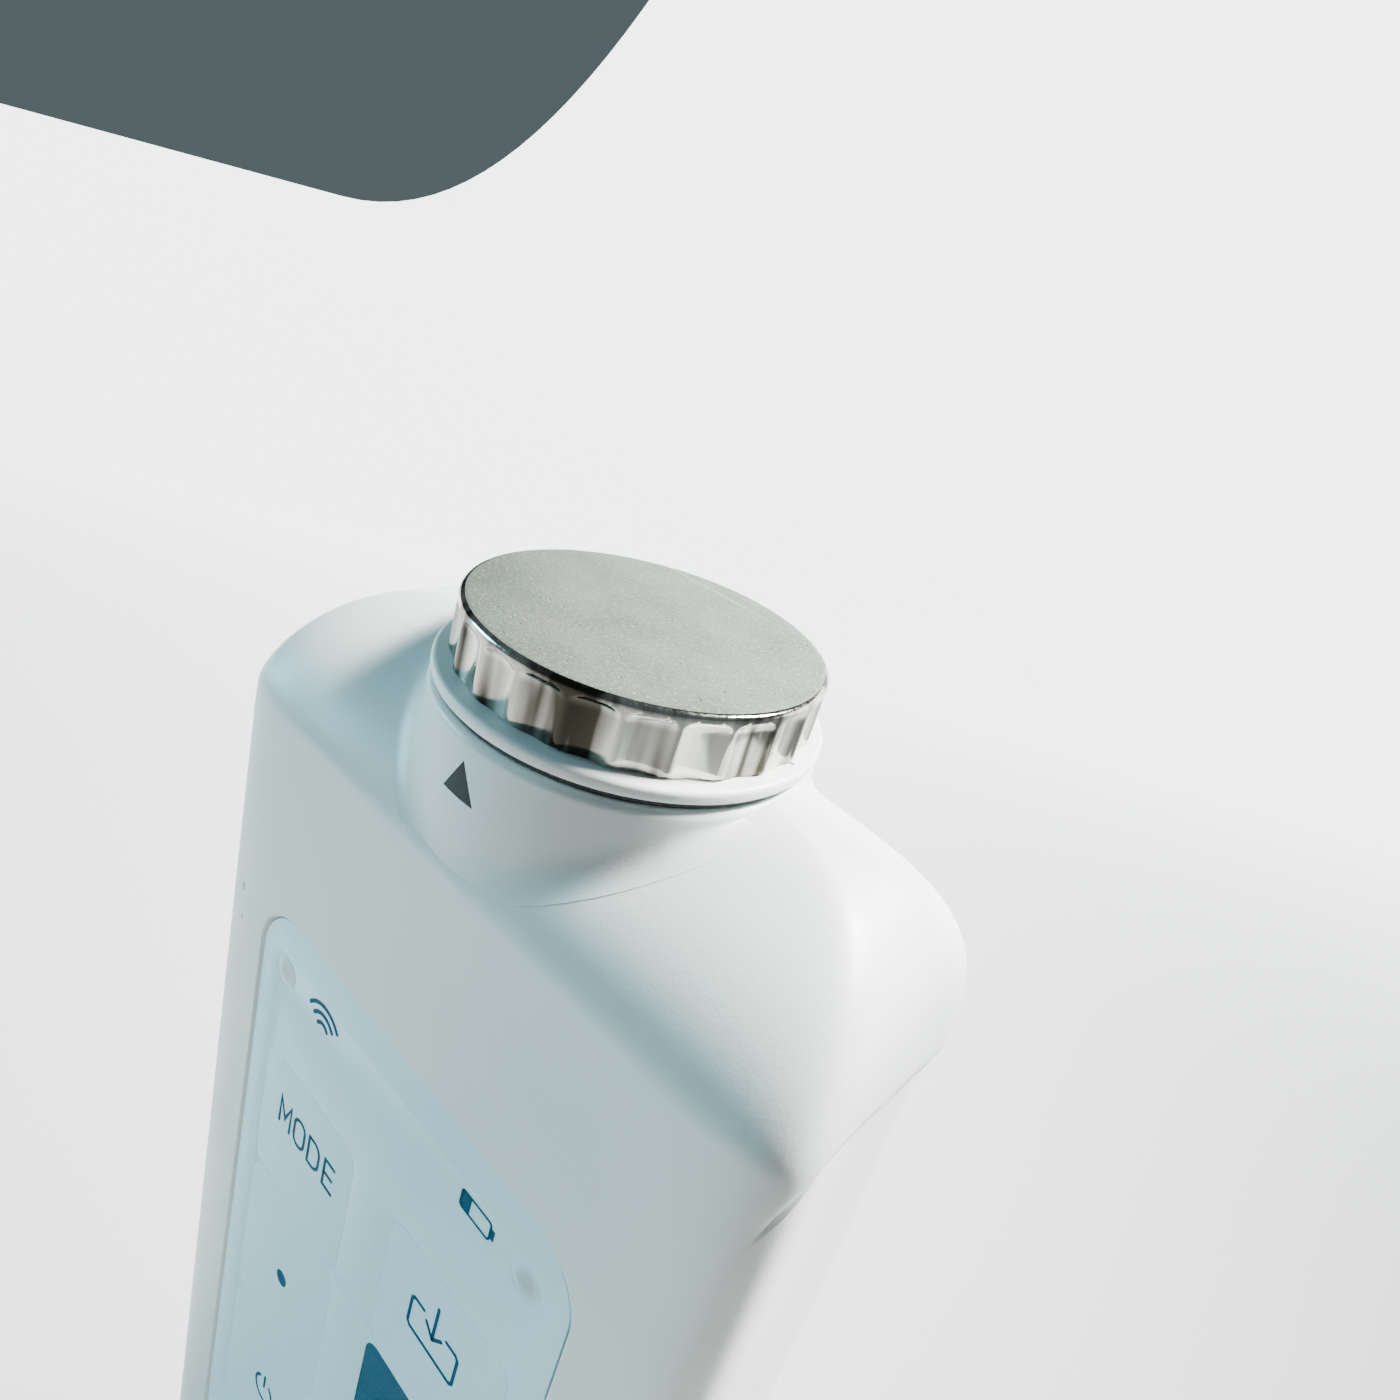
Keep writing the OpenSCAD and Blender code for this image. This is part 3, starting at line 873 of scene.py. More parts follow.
@dataclass(frozen=True)
class GripOutline:
    """Outline of a side grip in depth and height; its top edge falls towards the back."""

    front: float = -18.6
    back: float = 13.5
    foot: float = 30.0
    top_back: float = 178.5
    top_front: float = 184.5
    corner: float = 8.0
    top_corner: float = 12.0
    sink: float = 0.35
    shoulder_sink: float = 0.75

    def span(self, z: np.ndarray) -> tuple[np.ndarray, np.ndarray]:
        """First and last depth of the outline at each height, with its corners rounded.

        Each corner draws the side in by r - sqrt(r^2 - h^2), h being how far z is into that corner.

        Args:
            z: heights.

        Returns:
            Two arrays of depths.
        """
        def drawn_in(over: np.ndarray, r: float) -> np.ndarray:
            """Distance by which a round corner draws the side in."""
            h = np.clip(over, 0.0, r)
            return r - np.sqrt(np.maximum(r * r - h * h, 0.0))
        low = drawn_in(self.foot + self.corner - z, self.corner)
        y0 = self.front + low + drawn_in(z - (self.top_front - self.top_corner), self.top_corner)
        slope = (self.top_front - self.top_back) / (self.back - self.front)
        edge = self.back - (z - self.top_back) / slope
        soft = 3.0
        y1 = -soft * np.log(np.exp(-(self.back - low) / soft) + np.exp(-edge / soft))
        return y0, np.maximum(y1, y0)

    def depth(self, y: np.ndarray, z: np.ndarray) -> np.ndarray:
        """Distance inside the outline, negative outside, taken to the nearest straight side.

        Args:
            y: depths.
            z: heights.

        Returns:
            Array of distances.
        """
        slope = (self.top_front - self.top_back) / (self.back - self.front)
        roof = self.top_front - slope * (y - self.front)
        qy = np.maximum(self.front - y, y - self.back)
        qz = np.maximum(self.foot - z, z - roof)
        r = self.corner
        qy, qz = qy + r, qz + r
        return r - (np.hypot(np.maximum(qy, 0), np.maximum(qz, 0)) + np.minimum(np.maximum(qy, qz), 0))

    def scoop(self, y: np.ndarray, z: np.ndarray) -> np.ndarray:
        """Depth by which the casing's side is drawn in at the grip, most under the shoulder.

        Args:
            y: depths.
            z: heights.

        Returns:
            Array of depths of the scoop.
        """
        inside = smooth(self.depth(y, z) / 1.6 + 0.35)
        near_top = smooth((z - self.top_back + 34.0) / 34.0)
        rear = smooth((y - self.front) / 14.0)
        return inside * (self.sink + self.shoulder_sink * near_top * rear)


@dataclass
class Casing:
    """The two shells, made as one dense skin that is split, hollowed and cut."""

    form: CasingForm
    grip: GripOutline
    split_y: float
    panel_low: np.ndarray
    panel_high: np.ndarray
    wall: float = 2.4
    base_z: float = 4.0
    lip: float = 0.36
    recess: float = 0.85
    hole_r: float = 19.2
    hole_foot: float = 184.0
    screw_rows: tuple[float, ...] = (14.0, 100.0, 182.0)
    screw_x: float = 31.0
    screw_seat_y: float = 13.8
    screw_recess_r: float = 2.8
    well: float = 1.3
    plunger_hole_r: float = 2.4
    door_gap: float = 0.15
    door_corner: float = 4.0
    door_low: np.ndarray = field(default_factory=lambda: node_box("battery_door")[0])
    door_high: np.ndarray = field(default_factory=lambda: node_box("battery_door")[1])

    def angles(self) -> np.ndarray:
        """Angles round a ring, spaced by chosen steps along the outline.

        The steps are finest where the keypad's upright edges cross the ring.

        Returns:
            Array of angles.
        """
        dense = np.linspace(0.0, 2.0 * math.pi, 40001)
        ring = self.form.ring(self.base_z + 60.0, dense)
        along = np.concatenate([[0.0], np.cumsum(np.hypot(*np.diff(ring[:, :2], axis=0).T))])
        edge = (self.panel_high[0] - self.panel_low[0]) / 2
        off = np.abs(np.abs(ring[:, 0]) - edge)
        front = ring[:, 1] < -self.form.half_d * 0.98
        step = np.full(len(dense), 1.5)
        step[front] = 1.3
        step[front & (np.abs(ring[:, 0]) < edge) & (off < PANEL_CORNER)] = 0.42
        step[front & (off < 1.0)] = 0.13
        step[~front & (ring[:, 1] < -14.0)] = 0.5
        step[(ring[:, 1] > 10.0) & (np.abs(ring[:, 0]) > 30.0)] = 0.8
        count = np.concatenate([[0.0], np.cumsum(np.diff(along) / step[:-1])])
        wanted = np.linspace(0.0, count[-1], int(count[-1]), endpoint=False)
        return np.interp(wanted, count, dense)

    def heights(self) -> np.ndarray:
        """Heights of the rings, finest at the keypad's level edges and towards the ridge.

        Returns:
            Array of heights.
        """
        z = np.linspace(self.base_z, self.form.top, 20001)
        step = np.full(len(z), 2.2)
        for edge, side in ((self.panel_low[2], 1.0), (self.panel_high[2], -1.0)):
            into = (z - edge) * side
            step[(into > 0.0) & (into < PANEL_CORNER)] = 0.42
            step[np.abs(into) < 1.0] = 0.13
        step[z < self.base_z + 0.6] = 0.1
        step[z > 164.0] = 0.75
        step[z > self.form.top - 3.0] = 0.25
        step[z > self.form.top - 0.5] = 0.06
        count = np.concatenate([[0.0], np.cumsum(np.diff(z) / step[:-1])])
        return np.interp(np.linspace(0.0, count[-1], int(count[-1])), count, z)

    def skin(self) -> bpy.types.Object:
        """Makes the closed outer skin, with the keypad's recess and the grips' scoops pressed in.

        Returns:
            A closed solid skin.
        """
        t = self.angles()
        z = self.heights()
        edge_round = 0.35
        rings = []
        for height in z:
            drawn = edge_round * (1.0 - min((height - self.base_z) / edge_round, 1.0)) ** 2
            rings.append(self.form.ring(height, t, drawn))
        points = np.array(rings)
        x, y, level = points[..., 0], points[..., 1], points[..., 2]
        middle = (self.panel_low + self.panel_high) / 2
        size = self.panel_high - self.panel_low
        gap = round_box_distance(x - middle[0], level - middle[2], size[0], size[2], PANEL_CORNER)
        sunk = self.recess * smooth((self.lip - gap) / (2 * self.lip) + 0.25)
        points[..., 1] = np.where((y < 0) & (np.abs(x) < size[0] / 2 + 3.0), y + sunk, y)
        scoop = self.grip.scoop(y, level)
        hidden = 0.5 * smooth((self.grip.depth(y, level) - 0.5) / 1.0)
        side = (np.abs(x) > 24.0) & (level < self.grip.top_front + 2.0)
        points[..., 0] = np.where(side, x - np.sign(x) * (scoop + hidden), x)
        return loft("skin", points, 180.0)

    def half(self, which: Half) -> bpy.types.Object:
        """Splits off one half of the skin, closed along the parting plane.

        Args:
            which: the half that is kept.

        Returns:
            A closed solid half.
        """
        obj = self.skin()
        work = bmesh.new()
        work.from_mesh(obj.data)
        cut = bmesh.ops.bisect_plane(
            work, geom=work.verts[:] + work.edges[:] + work.faces[:], dist=1e-7,
            plane_co=(0, self.split_y * MM, 0), plane_no=(0, 1, 0),
            clear_outer=which is Half.FRONT, clear_inner=which is Half.REAR)
        edges = [e for e in cut["geom_cut"] if isinstance(e, bmesh.types.BMEdge) and e.is_valid]
        bmesh.ops.holes_fill(work, edges=edges)
        work.to_mesh(obj.data)
        work.free()
        obj.name = "front_shell_skin" if which is Half.FRONT else "rear_shell_skin"
        return obj

    def hollow(self) -> bpy.types.Object:
        """Makes the space inside the walls, as a plain loft of rings."""
        t = np.linspace(0.0, 2.0 * math.pi, 96, endpoint=False)
        z = np.concatenate([[self.base_z - 2.0, 60.0, 120.0], np.linspace(160.0, self.form.top - 0.6, 24)])
        rings = np.array([self.form.ring(h, t, self.wall) - [0, 0, self.wall] for h in z])
        return loft("hollow", rings, 180.0)

    def port_cutter(self) -> bpy.types.Object:
        """Makes the rod that opens the ridge for the collar."""
        line = circle(0.0, 0.0, self.hole_r, 128)
        heights = (self.hole_foot, self.form.top + 5.0)
        rings = [np.column_stack([line, np.full(len(line), z)]) for z in heights]
        return loft("port_cutter", np.array(rings), 180.0)

    def front(self, finishes: Finishes) -> None:
        """Makes and dresses the front shell, with a well and a plunger's hole behind every key.

        Args:
            finishes: the unit's finishes.
        """
        obj = self.half(Half.FRONT)
        boolean(obj, self.hollow())
        boolean(obj, self.port_cutter())
        for key in KEYS:
            low, high = node_box(key)
            x, face, z = (low[0] + high[0]) / 2, low[1], (low[2] + high[2]) / 2
            boolean(obj, rod(key_window(low, high, 0.0), face - 0.5, face + self.well))
            boolean(obj, rod(circle(x, z, self.plunger_hole_r, 40), face + 1.0, face + 4.0))
        tidy_mesh(obj, 35.0)
        finishes.put(obj, "casing_white")
        dress(obj, "casing", "casing_white", "front_shell")

    def rear(self, finishes: Finishes) -> None:
        """Makes and dresses the rear shell, with its door opening and screw seats.

        Args:
            finishes: the unit's finishes.
        """
        obj = self.half(Half.REAR)
        boolean(obj, self.hollow())
        boolean(obj, self.port_cutter())
        middle = (self.door_low + self.door_high) / 2
        size = self.door_high - self.door_low
        gap = self.door_gap
        opening = round_box(size[0] + 2 * gap, size[2] + 2 * gap, self.door_corner + gap) + middle[[0, 2]]
        outside = self.form.half_d + 2.0
        boolean(obj, rod(opening, self.split_y + 2.0, outside))
        for z in self.screw_rows:
            for side in Side:
                seat = circle(side.value * self.screw_x, z, self.screw_recess_r, 40)
                boolean(obj, rod(seat, self.screw_seat_y + 1.4, outside))
        tidy_mesh(obj, 35.0)
        finishes.put(obj, "casing_white")
        dress(obj, "casing", "casing_white", "rear_shell")

    def side_grip(self, side: Side, finishes: Finishes) -> None:
        """Makes a thin grip face that lies in the casing's scoop.

        The grid runs from the outline's first to its last depth at each height, and its rim is drawn in.

        Args:
            side: the side of the unit.
            finishes: the unit's finishes.
        """
        turn = np.linspace(0.0, math.pi, 150)
        z = self.grip.foot + (self.grip.top_front - self.grip.foot - 0.3) * (1.0 - np.cos(turn)) / 2 + 0.05
        y0, y1 = self.grip.span(z)
        share = (1.0 - np.cos(np.linspace(0.0, math.pi, 60))) / 2
        y = y0[:, None] + (y1 - y0)[:, None] * share
        level = np.broadcast_to(z[:, None], y.shape)
        rim = np.minimum(self.grip.depth(y, level), 10.0)
        drop = 0.22 * (1.0 - smooth(rim / 0.5)) - 0.06
        x = side.value * (self.form.side_x(y, level) - self.grip.scoop(y, level) - drop)
        outer = np.stack([x, y, level], axis=-1)
        inner = outer - np.array([side.value * 1.0, 0.0, 0.0])
        rows, cols = y.shape
        face = grid_faces(rows, cols, False)
        count = rows * cols
        rim_loop = np.concatenate([np.arange(cols), np.arange(1, rows) * cols + cols - 1,
                                   (rows - 1) * cols + np.arange(cols - 2, -1, -1),
                                   np.arange(rows - 2, 0, -1) * cols])
        after = np.roll(rim_loop, -1)
        wall = np.stack([rim_loop, after, after + count, rim_loop + count], axis=-1)
        faces = np.vstack([face, face[:, ::-1] + count, wall]).tolist()
        name = "side_grip_" + side.name.lower()
        obj = make_mesh(name + "_face", np.vstack([outer.reshape(-1, 3), inner.reshape(-1, 3)]), faces, 50.0)
        finishes.put(obj, "grip_white")
        dress(obj, "casing", "grip_white", name)

    def battery_door(self, finishes: Finishes) -> None:
        """Makes the rear door, which follows the rear face, with a rolled rim and a finger groove.

        Args:
            finishes: the unit's finishes.
        """
        middle = (self.door_low + self.door_high) / 2
        size = self.door_high - self.door_low
        insets = [0.0, 0.0, 0.12, 0.35, 0.7, 1.5, 3.0]
        drops = [self.wall, 0.45, 0.14, 0.02, 0.0, 0.0, 0.0]
        rings = []
        for inset, drop in zip(insets, drops):
            line = round_box(size[0], size[2], self.door_corner, inset, 10)
            line = np.vstack([np.linspace(line[i], line[(i + 1) % len(line)], 14, endpoint=False)
                              if i % 10 == 9 else line[i:i + 1] for i in range(len(line))])
            x, z = line[:, 0] + middle[0], line[:, 1] + middle[2]
            rings.append(np.stack([x, self.form.back_y(x, z) - drop, z], axis=-1))
        rim = np.array(rings)
        inner = rim[-1]
        rows = [inner * [1 - s, 1, 1] + [middle[0] * s, 0, 0] for s in np.linspace(0.06, 1.0, 14)]
        for row in rows:
            row[:, 1] = self.form.back_y(row[:, 0], row[:, 2])
            across, along = row[:, 0] - middle[0], row[:, 2] - middle[2] - 25.0
            row[:, 1] -= 1.2 * smooth(1.0 - np.hypot(across / 9.0, along / 3.0))
        obj = loft("battery_door_panel", np.concatenate([rim, np.array(rows)]), 50.0)
        for side in Side:
            seat = circle(0.0, middle[2] + side.value * (size[2] / 2 - 6.0), self.screw_recess_r, 40)
            boolean(obj, rod(seat, self.form.half_d - 1.0, self.form.half_d + 2.0))
        tidy_mesh(obj, 40.0)
        finishes.put(obj, "casing_white")
        dress(obj, "casing", "casing_white", "battery_door")

    def base(self, finishes: Finishes) -> None:
        """Makes the base cap, a lofted plate with a rolled foot and a step that enters the shells.

        Args:
            finishes: the unit's finishes.
        """
        low, high = node_box("base_cap")
        t = self.angles()[::2]
        steps = [(low[2] + 0.02, 1.1), (low[2] + 0.2, 0.55), (low[2] + 0.6, 0.2), (low[2] + 1.1, 0.02),
                 (low[2] + 1.6, 0.0), (self.base_z - 0.35, 0.0), (self.base_z - 0.1, 0.1),
                 (self.base_z - 0.02, 0.3), (self.base_z - 0.02, self.wall + 0.2), (high[2], self.wall + 0.2)]
        rings = np.array([self.form.ring(60.0, t, inset) * [1, 1, 0] + [0, 0, z] for z, inset in steps])
        obj = loft("base_cap_shell", rings, 50.0)
        finishes.put(obj, "casing_white")
        dress(obj, "casing", "casing_white", "base_cap")


# ---------------------------------------------------------------- the beam port


@dataclass
class Port:
    """The collar, the plastic flange and the fluted metal cap over the beam port."""

    form: CasingForm
    collar_r: float = 19.4
    collar_top: float = 196.6
    bore_r: float = 16.6
    rim_r: float = 0.8
    fillet: float = 2.4
    flutes: int = 24
    flute_depth: float = 0.5
    land: float = 0.45
    flute_gap: float = 0.75
    flute_arch: float = 1.3

    def junction(self, angle: np.ndarray, radius: np.ndarray) -> np.ndarray:
        """Height of the casing under the points at these angles and radii."""
        return self.form.roof_z(radius * np.cos(angle), radius * np.sin(angle))

    def foot_point(self, angle: np.ndarray, reach: np.ndarray) -> np.ndarray:
        """Points on the casing a way outside the collar, measured along each upright section.

        The section is followed outwards in small equal steps of length, which turn down over the
        edge of the face, so the front and the sides get the same soft foot.

        Args:
            angle: direction of each section.
            reach: length along the section.

        Returns:
            Array of (radius, height).
        """
        fine = np.linspace(0.0, 1.0, 400)
        out = []
        for direction, length in zip(angle, reach):
            limit = self.collar_r + 4.0
            slant = abs(math.sin(direction))
            if slant > 0.5:
                limit = min(limit, self.form.half_d / slant - 1e-3)
            radius = self.collar_r + (limit - self.collar_r) * fine
            height = self.form.roof_z(radius * math.cos(direction), radius * math.sin(direction))
            along = np.concatenate([[0.0], np.cumsum(np.hypot(np.diff(radius), np.diff(height)))])
            if along[-1] < length:
                down = height[-1] - (length - along[-1])
                out.append((radius[-1], down))
            else:
                out.append((np.interp(length, along, radius), np.interp(length, along, height)))
        return np.array(out)

    def collar(self, finishes: Finishes) -> None:
        """Makes the collar: a round rim, an upright wall and a foot that blends into the casing.

        Each section's foot is a quadratic curve from the wall, through the corner where wall and
        casing meet, to a point on the casing, so it leaves both along their own directions.

        Args:
            finishes: the unit's finishes.
        """
        cols = 240
        angle = np.linspace(0.0, 2.0 * math.pi, cols, endpoint=False)
        corner = self.junction(angle, np.full(cols, self.collar_r))
        wall_top = self.collar_top - self.rim_r
        corner = np.minimum(corner, wall_top)
        rise = np.minimum(self.fillet, np.maximum(wall_top - corner, 0.0) * 0.8)
        foot = self.foot_point(angle, np.full(cols, self.fillet))
        s = np.linspace(0.0, 1.0, 14)[:, None]
        radius = (1 - s) ** 2 * self.collar_r + 2 * s * (1 - s) * self.collar_r + s**2 * foot[:, 0]
        height = (1 - s) ** 2 * (corner + rise) + 2 * s * (1 - s) * corner + s**2 * foot[:, 1]
        height = height + 0.03
        radius = radius + 0.03
        rim = arc((self.collar_r - self.rim_r, wall_top), self.rim_r, 100, 0, 10)
        lead = np.array([[self.bore_r, self.collar_top - 6.0], [self.bore_r, self.collar_top - 0.7],
                         [self.bore_r + 0.5, self.collar_top - 0.12]])
        inner = np.vstack([lead, rim])
        rows_r = [np.full(cols, r) for r in inner[:, 0]] + list(radius)
        rows_z = [np.full(cols, z) for z in inner[:, 1]] + list(height)
        rows_r += [foot[:, 0] - 0.5, np.full(cols, self.bore_r)]
        rows_z += [foot[:, 1] - 1.4, np.full(cols, self.collar_top - 14.0)]
        rows_r.append(rows_r[0])
        rows_z.append(rows_z[0])
        r, z = np.array(rows_r), np.array(rows_z)
        points = np.stack([r * np.cos(angle), r * np.sin(angle), z], axis=-1)
        faces = grid_faces(len(r), cols, True).tolist()
        obj = make_mesh("port_collar_ring", points.reshape(-1, 3), faces, 50.0)
        finishes.put(obj, "collar_white")
        dress(obj, "casing", "collar_white", "port_collar")

    def flange(self, finishes: Finishes) -> None:
        """Makes the cap's plastic flange with its threaded spigot, as a turned profile.

        Args:
            finishes: the unit's finishes.
        """
        low, high = node_box("cap_flange")
        r, top = high[0], high[2]
        foot = top - 1.4
        spigot = 14.7
        rim = 0.5
        outer = np.vstack([arc((r - rim, foot + rim), rim, -90, 0, 6),
                           arc((r - rim, top - rim), rim, 0, 90, 6)])
        drop = np.linspace(foot - 0.9, low[2] + 0.8, 60)
        thread = spigot - 0.35 * (0.5 + 0.5 * np.cos(2 * math.pi * (drop - foot) / 1.5))
        profile = np.vstack([[[0.01, top]], outer[::-1], [[spigot, foot]],
                             np.stack([thread, drop], -1), [[spigot - 0.8, low[2]], [13.0, low[2]],
                                                            [13.0, foot - 1.0], [0.01, foot - 1.0]]])
        obj = revolve("cap_flange_ring", profile, 160, 35.0)
        finishes.put(obj, "flange_white")
        dress(obj, "cap_plug", "flange_white", "cap_flange")

    def seal(self, finishes: Finishes) -> None:
        """Makes the flat rubber washer under the flange, with rounded edges.

        Args:
            finishes: the unit's finishes.
        """
        low, high = node_box("cap_seal")
        edge = (high[2] - low[2]) / 2
        middle = (high[2] + low[2]) / 2
        outer = arc((high[0] - edge, middle), edge, -90, 90, 8)
        profile = np.vstack([outer, [[14.76, high[2]], [14.76, low[2]]]])
        obj = revolve("cap_seal_washer", profile, 128, 50.0)
        finishes.put(obj, "seal_rubber")
        dress(obj, "cap_plug", "seal_rubber", "cap_seal")

    def cap(self, finishes: Finishes) -> None:
        """Makes the fluted cap.

        A flute's depth falls from its middle to its edges as 1 - u^2, u being the share of its half
        width. Near the top its half width w shrinks as (1 - v^3)^(1/3) over the arch, and the depth
        with the square of w.

        Args:
            finishes: the unit's finishes.
        """
        low, high = node_box("port_cap")
        cap_r, foot, top = high[0], low[2], high[2]
        per_flute = 26
        cols = self.flutes * per_flute
        angle = np.arange(cols) / cols * 2 * math.pi
        pitch = 2 * math.pi / self.flutes
        off = (angle + pitch / 2) % pitch - pitch / 2
        half_flute = (pitch * cap_r - self.land) / 2
        bevel = 0.5
        arch_top = top - self.flute_gap
        arch_foot = arch_top - self.flute_arch
        z = np.concatenate([[foot, foot + 0.1, foot + 0.3], np.linspace(foot + 0.6, arch_foot, 5),
                            np.linspace(arch_foot + 0.1, arch_top, 14), [top - bevel]])
        plain = np.full(len(z), cap_r)
        plain[:3] = cap_r - np.array([0.3, 0.12, 0.0])
        rise = np.clip((z - arch_foot) / self.flute_arch, 0.0, 1.0)
        width = half_flute * (1.0 - rise**3) ** (1.0 / 3.0)
        share = np.abs(off) * cap_r / np.maximum(width, 1e-3)[:, None]
        deep = self.flute_depth * (width / half_flute)[:, None] ** 2 * np.maximum(1.0 - share**2, 0.0)
        side = np.minimum(plain[:, None], cap_r - deep)
        shoulder = arc((cap_r - bevel, top - bevel), bevel, 12, 90, 6)
        rows_r = [np.full(cols, cap_r - 1.6)] + list(side)
        rows_z = [foot] + list(z)
        for r, level in shoulder:
            rows_r.append(np.full(cols, r))
            rows_z.append(level)
        for r in (cap_r - 0.9, cap_r - 2.5, cap_r * 0.6, cap_r * 0.3):
            rows_r.append(np.full(cols, r))
            rows_z.append(top)
        r = np.array(rows_r)
        level = np.array(rows_z)[:, None] * np.ones(cols)
        points = np.stack([r * np.cos(angle), r * np.sin(angle), level], axis=-1)
        obj = loft("port_cap_fluted", points, 32.0)
        finishes.put(obj, "cap_metal", "cap_polished")
        middles = np.empty(len(obj.data.polygons) * 3)
        obj.data.polygons.foreach_get("center", middles)
        middles = middles.reshape(-1, 3) / MM
        reach = np.hypot(middles[:, 0], middles[:, 1])
        blasted = (middles[:, 2] > top - 0.004) & (reach < cap_r - bevel + 0.1)
        obj.data.polygons.foreach_set("material_index", np.where(blasted, 0, 1).astype(np.int32))
        dress(obj, "fluted_cap", "cap_metal", "port_cap")


# ---------------------------------------------------------------- the keypad


@dataclass
class Print:
    """A printed mark: strokes and filled shapes laid a hair above a face of the keypad."""

    name: str
    body: str
    face_y: float
    slot: str = "keypad_film"
    thickness: float = 0.035
    points: list = field(default_factory=list)
    faces: list = field(default_factory=list)

    def fill(self, outline: np.ndarray) -> None:
        """Adds a filled shape, as a thin prism.

        Args:
            outline: closed outline in x and z.
        """
        n, start = len(outline), len(self.points)
        for y in (self.face_y - self.thickness, self.face_y + 0.05):
            self.points += [[x, y, z] for x, z in outline]
        self.faces.append([start + i for i in range(n)])
        self.faces.append([start + n + i for i in reversed(range(n))])
        for i in range(n):
            j = (i + 1) % n
            self.faces.append([start + i, start + n + i, start + n + j, start + j])

    def stroke(self, line: np.ndarray, width: float, closed: bool = False) -> None:
        """Adds a line of an even width, its corners mitred and its ends round.

        Args:
            line: points of the line's middle, in x and z.
            width: the line's width.
            closed: True for a line that meets its own start.
        """
        line = np.asarray(line, float)
        ahead = np.roll(line, -1, axis=0) - line
        if not closed:
            ahead[-1] = ahead[-2]
        ahead /= np.linalg.norm(ahead, axis=1)[:, None]
        behind = np.roll(ahead, 1, axis=0)
        if not closed:
            behind[0] = ahead[0]
        turn = ahead + behind
        turn /= np.linalg.norm(turn, axis=1)[:, None]
        across = np.stack([-turn[:, 1], turn[:, 0]], -1)
        stretch = np.maximum(np.einsum("ij,ij->i", turn, ahead), 0.4)[:, None]
        half = across * width / 2 / stretch
        if closed:
            n, start = len(line), len(self.points)
            for side, y in ((1, 0), (-1, 0), (1, 1), (-1, 1)):
                depth = self.face_y - self.thickness if y == 0 else self.face_y + 0.05
                self.points += [[x, depth, z] for x, z in line + side * half]
            for i in range(n):
                j = (i + 1) % n
                a, b, c, d = (start + k * n for k in range(4))
                self.faces += [[a + i, a + j, b + j, b + i], [c + j, c + i, d + i, d + j],
                               [a + j, a + i, c + i, c + j], [b + i, b + j, d + j, d + i]]
            return
        end = math.degrees(math.atan2(ahead[-1][1], ahead[-1][0]))
        start = math.degrees(math.atan2(ahead[0][1], ahead[0][0]))
        tip = arc(line[-1], width / 2, end - 60, end + 60, 5)
        tail = arc(line[0], width / 2, start + 120, start + 240, 5)
        self.fill(np.vstack([line - half, tip, (line + half)[::-1], tail]))

    def done(self, finishes: Finishes, finish: str = "print_teal") -> None:
        """Makes the mark's mesh and ties it to its key or film.

        Args:
            finishes: the unit's finishes.
            finish: the mark's finish.
        """
        obj = make_mesh(self.name, np.array(self.points), self.faces, 30.0)
        finishes.put(obj, finish)
        dress(obj, self.body, self.slot)


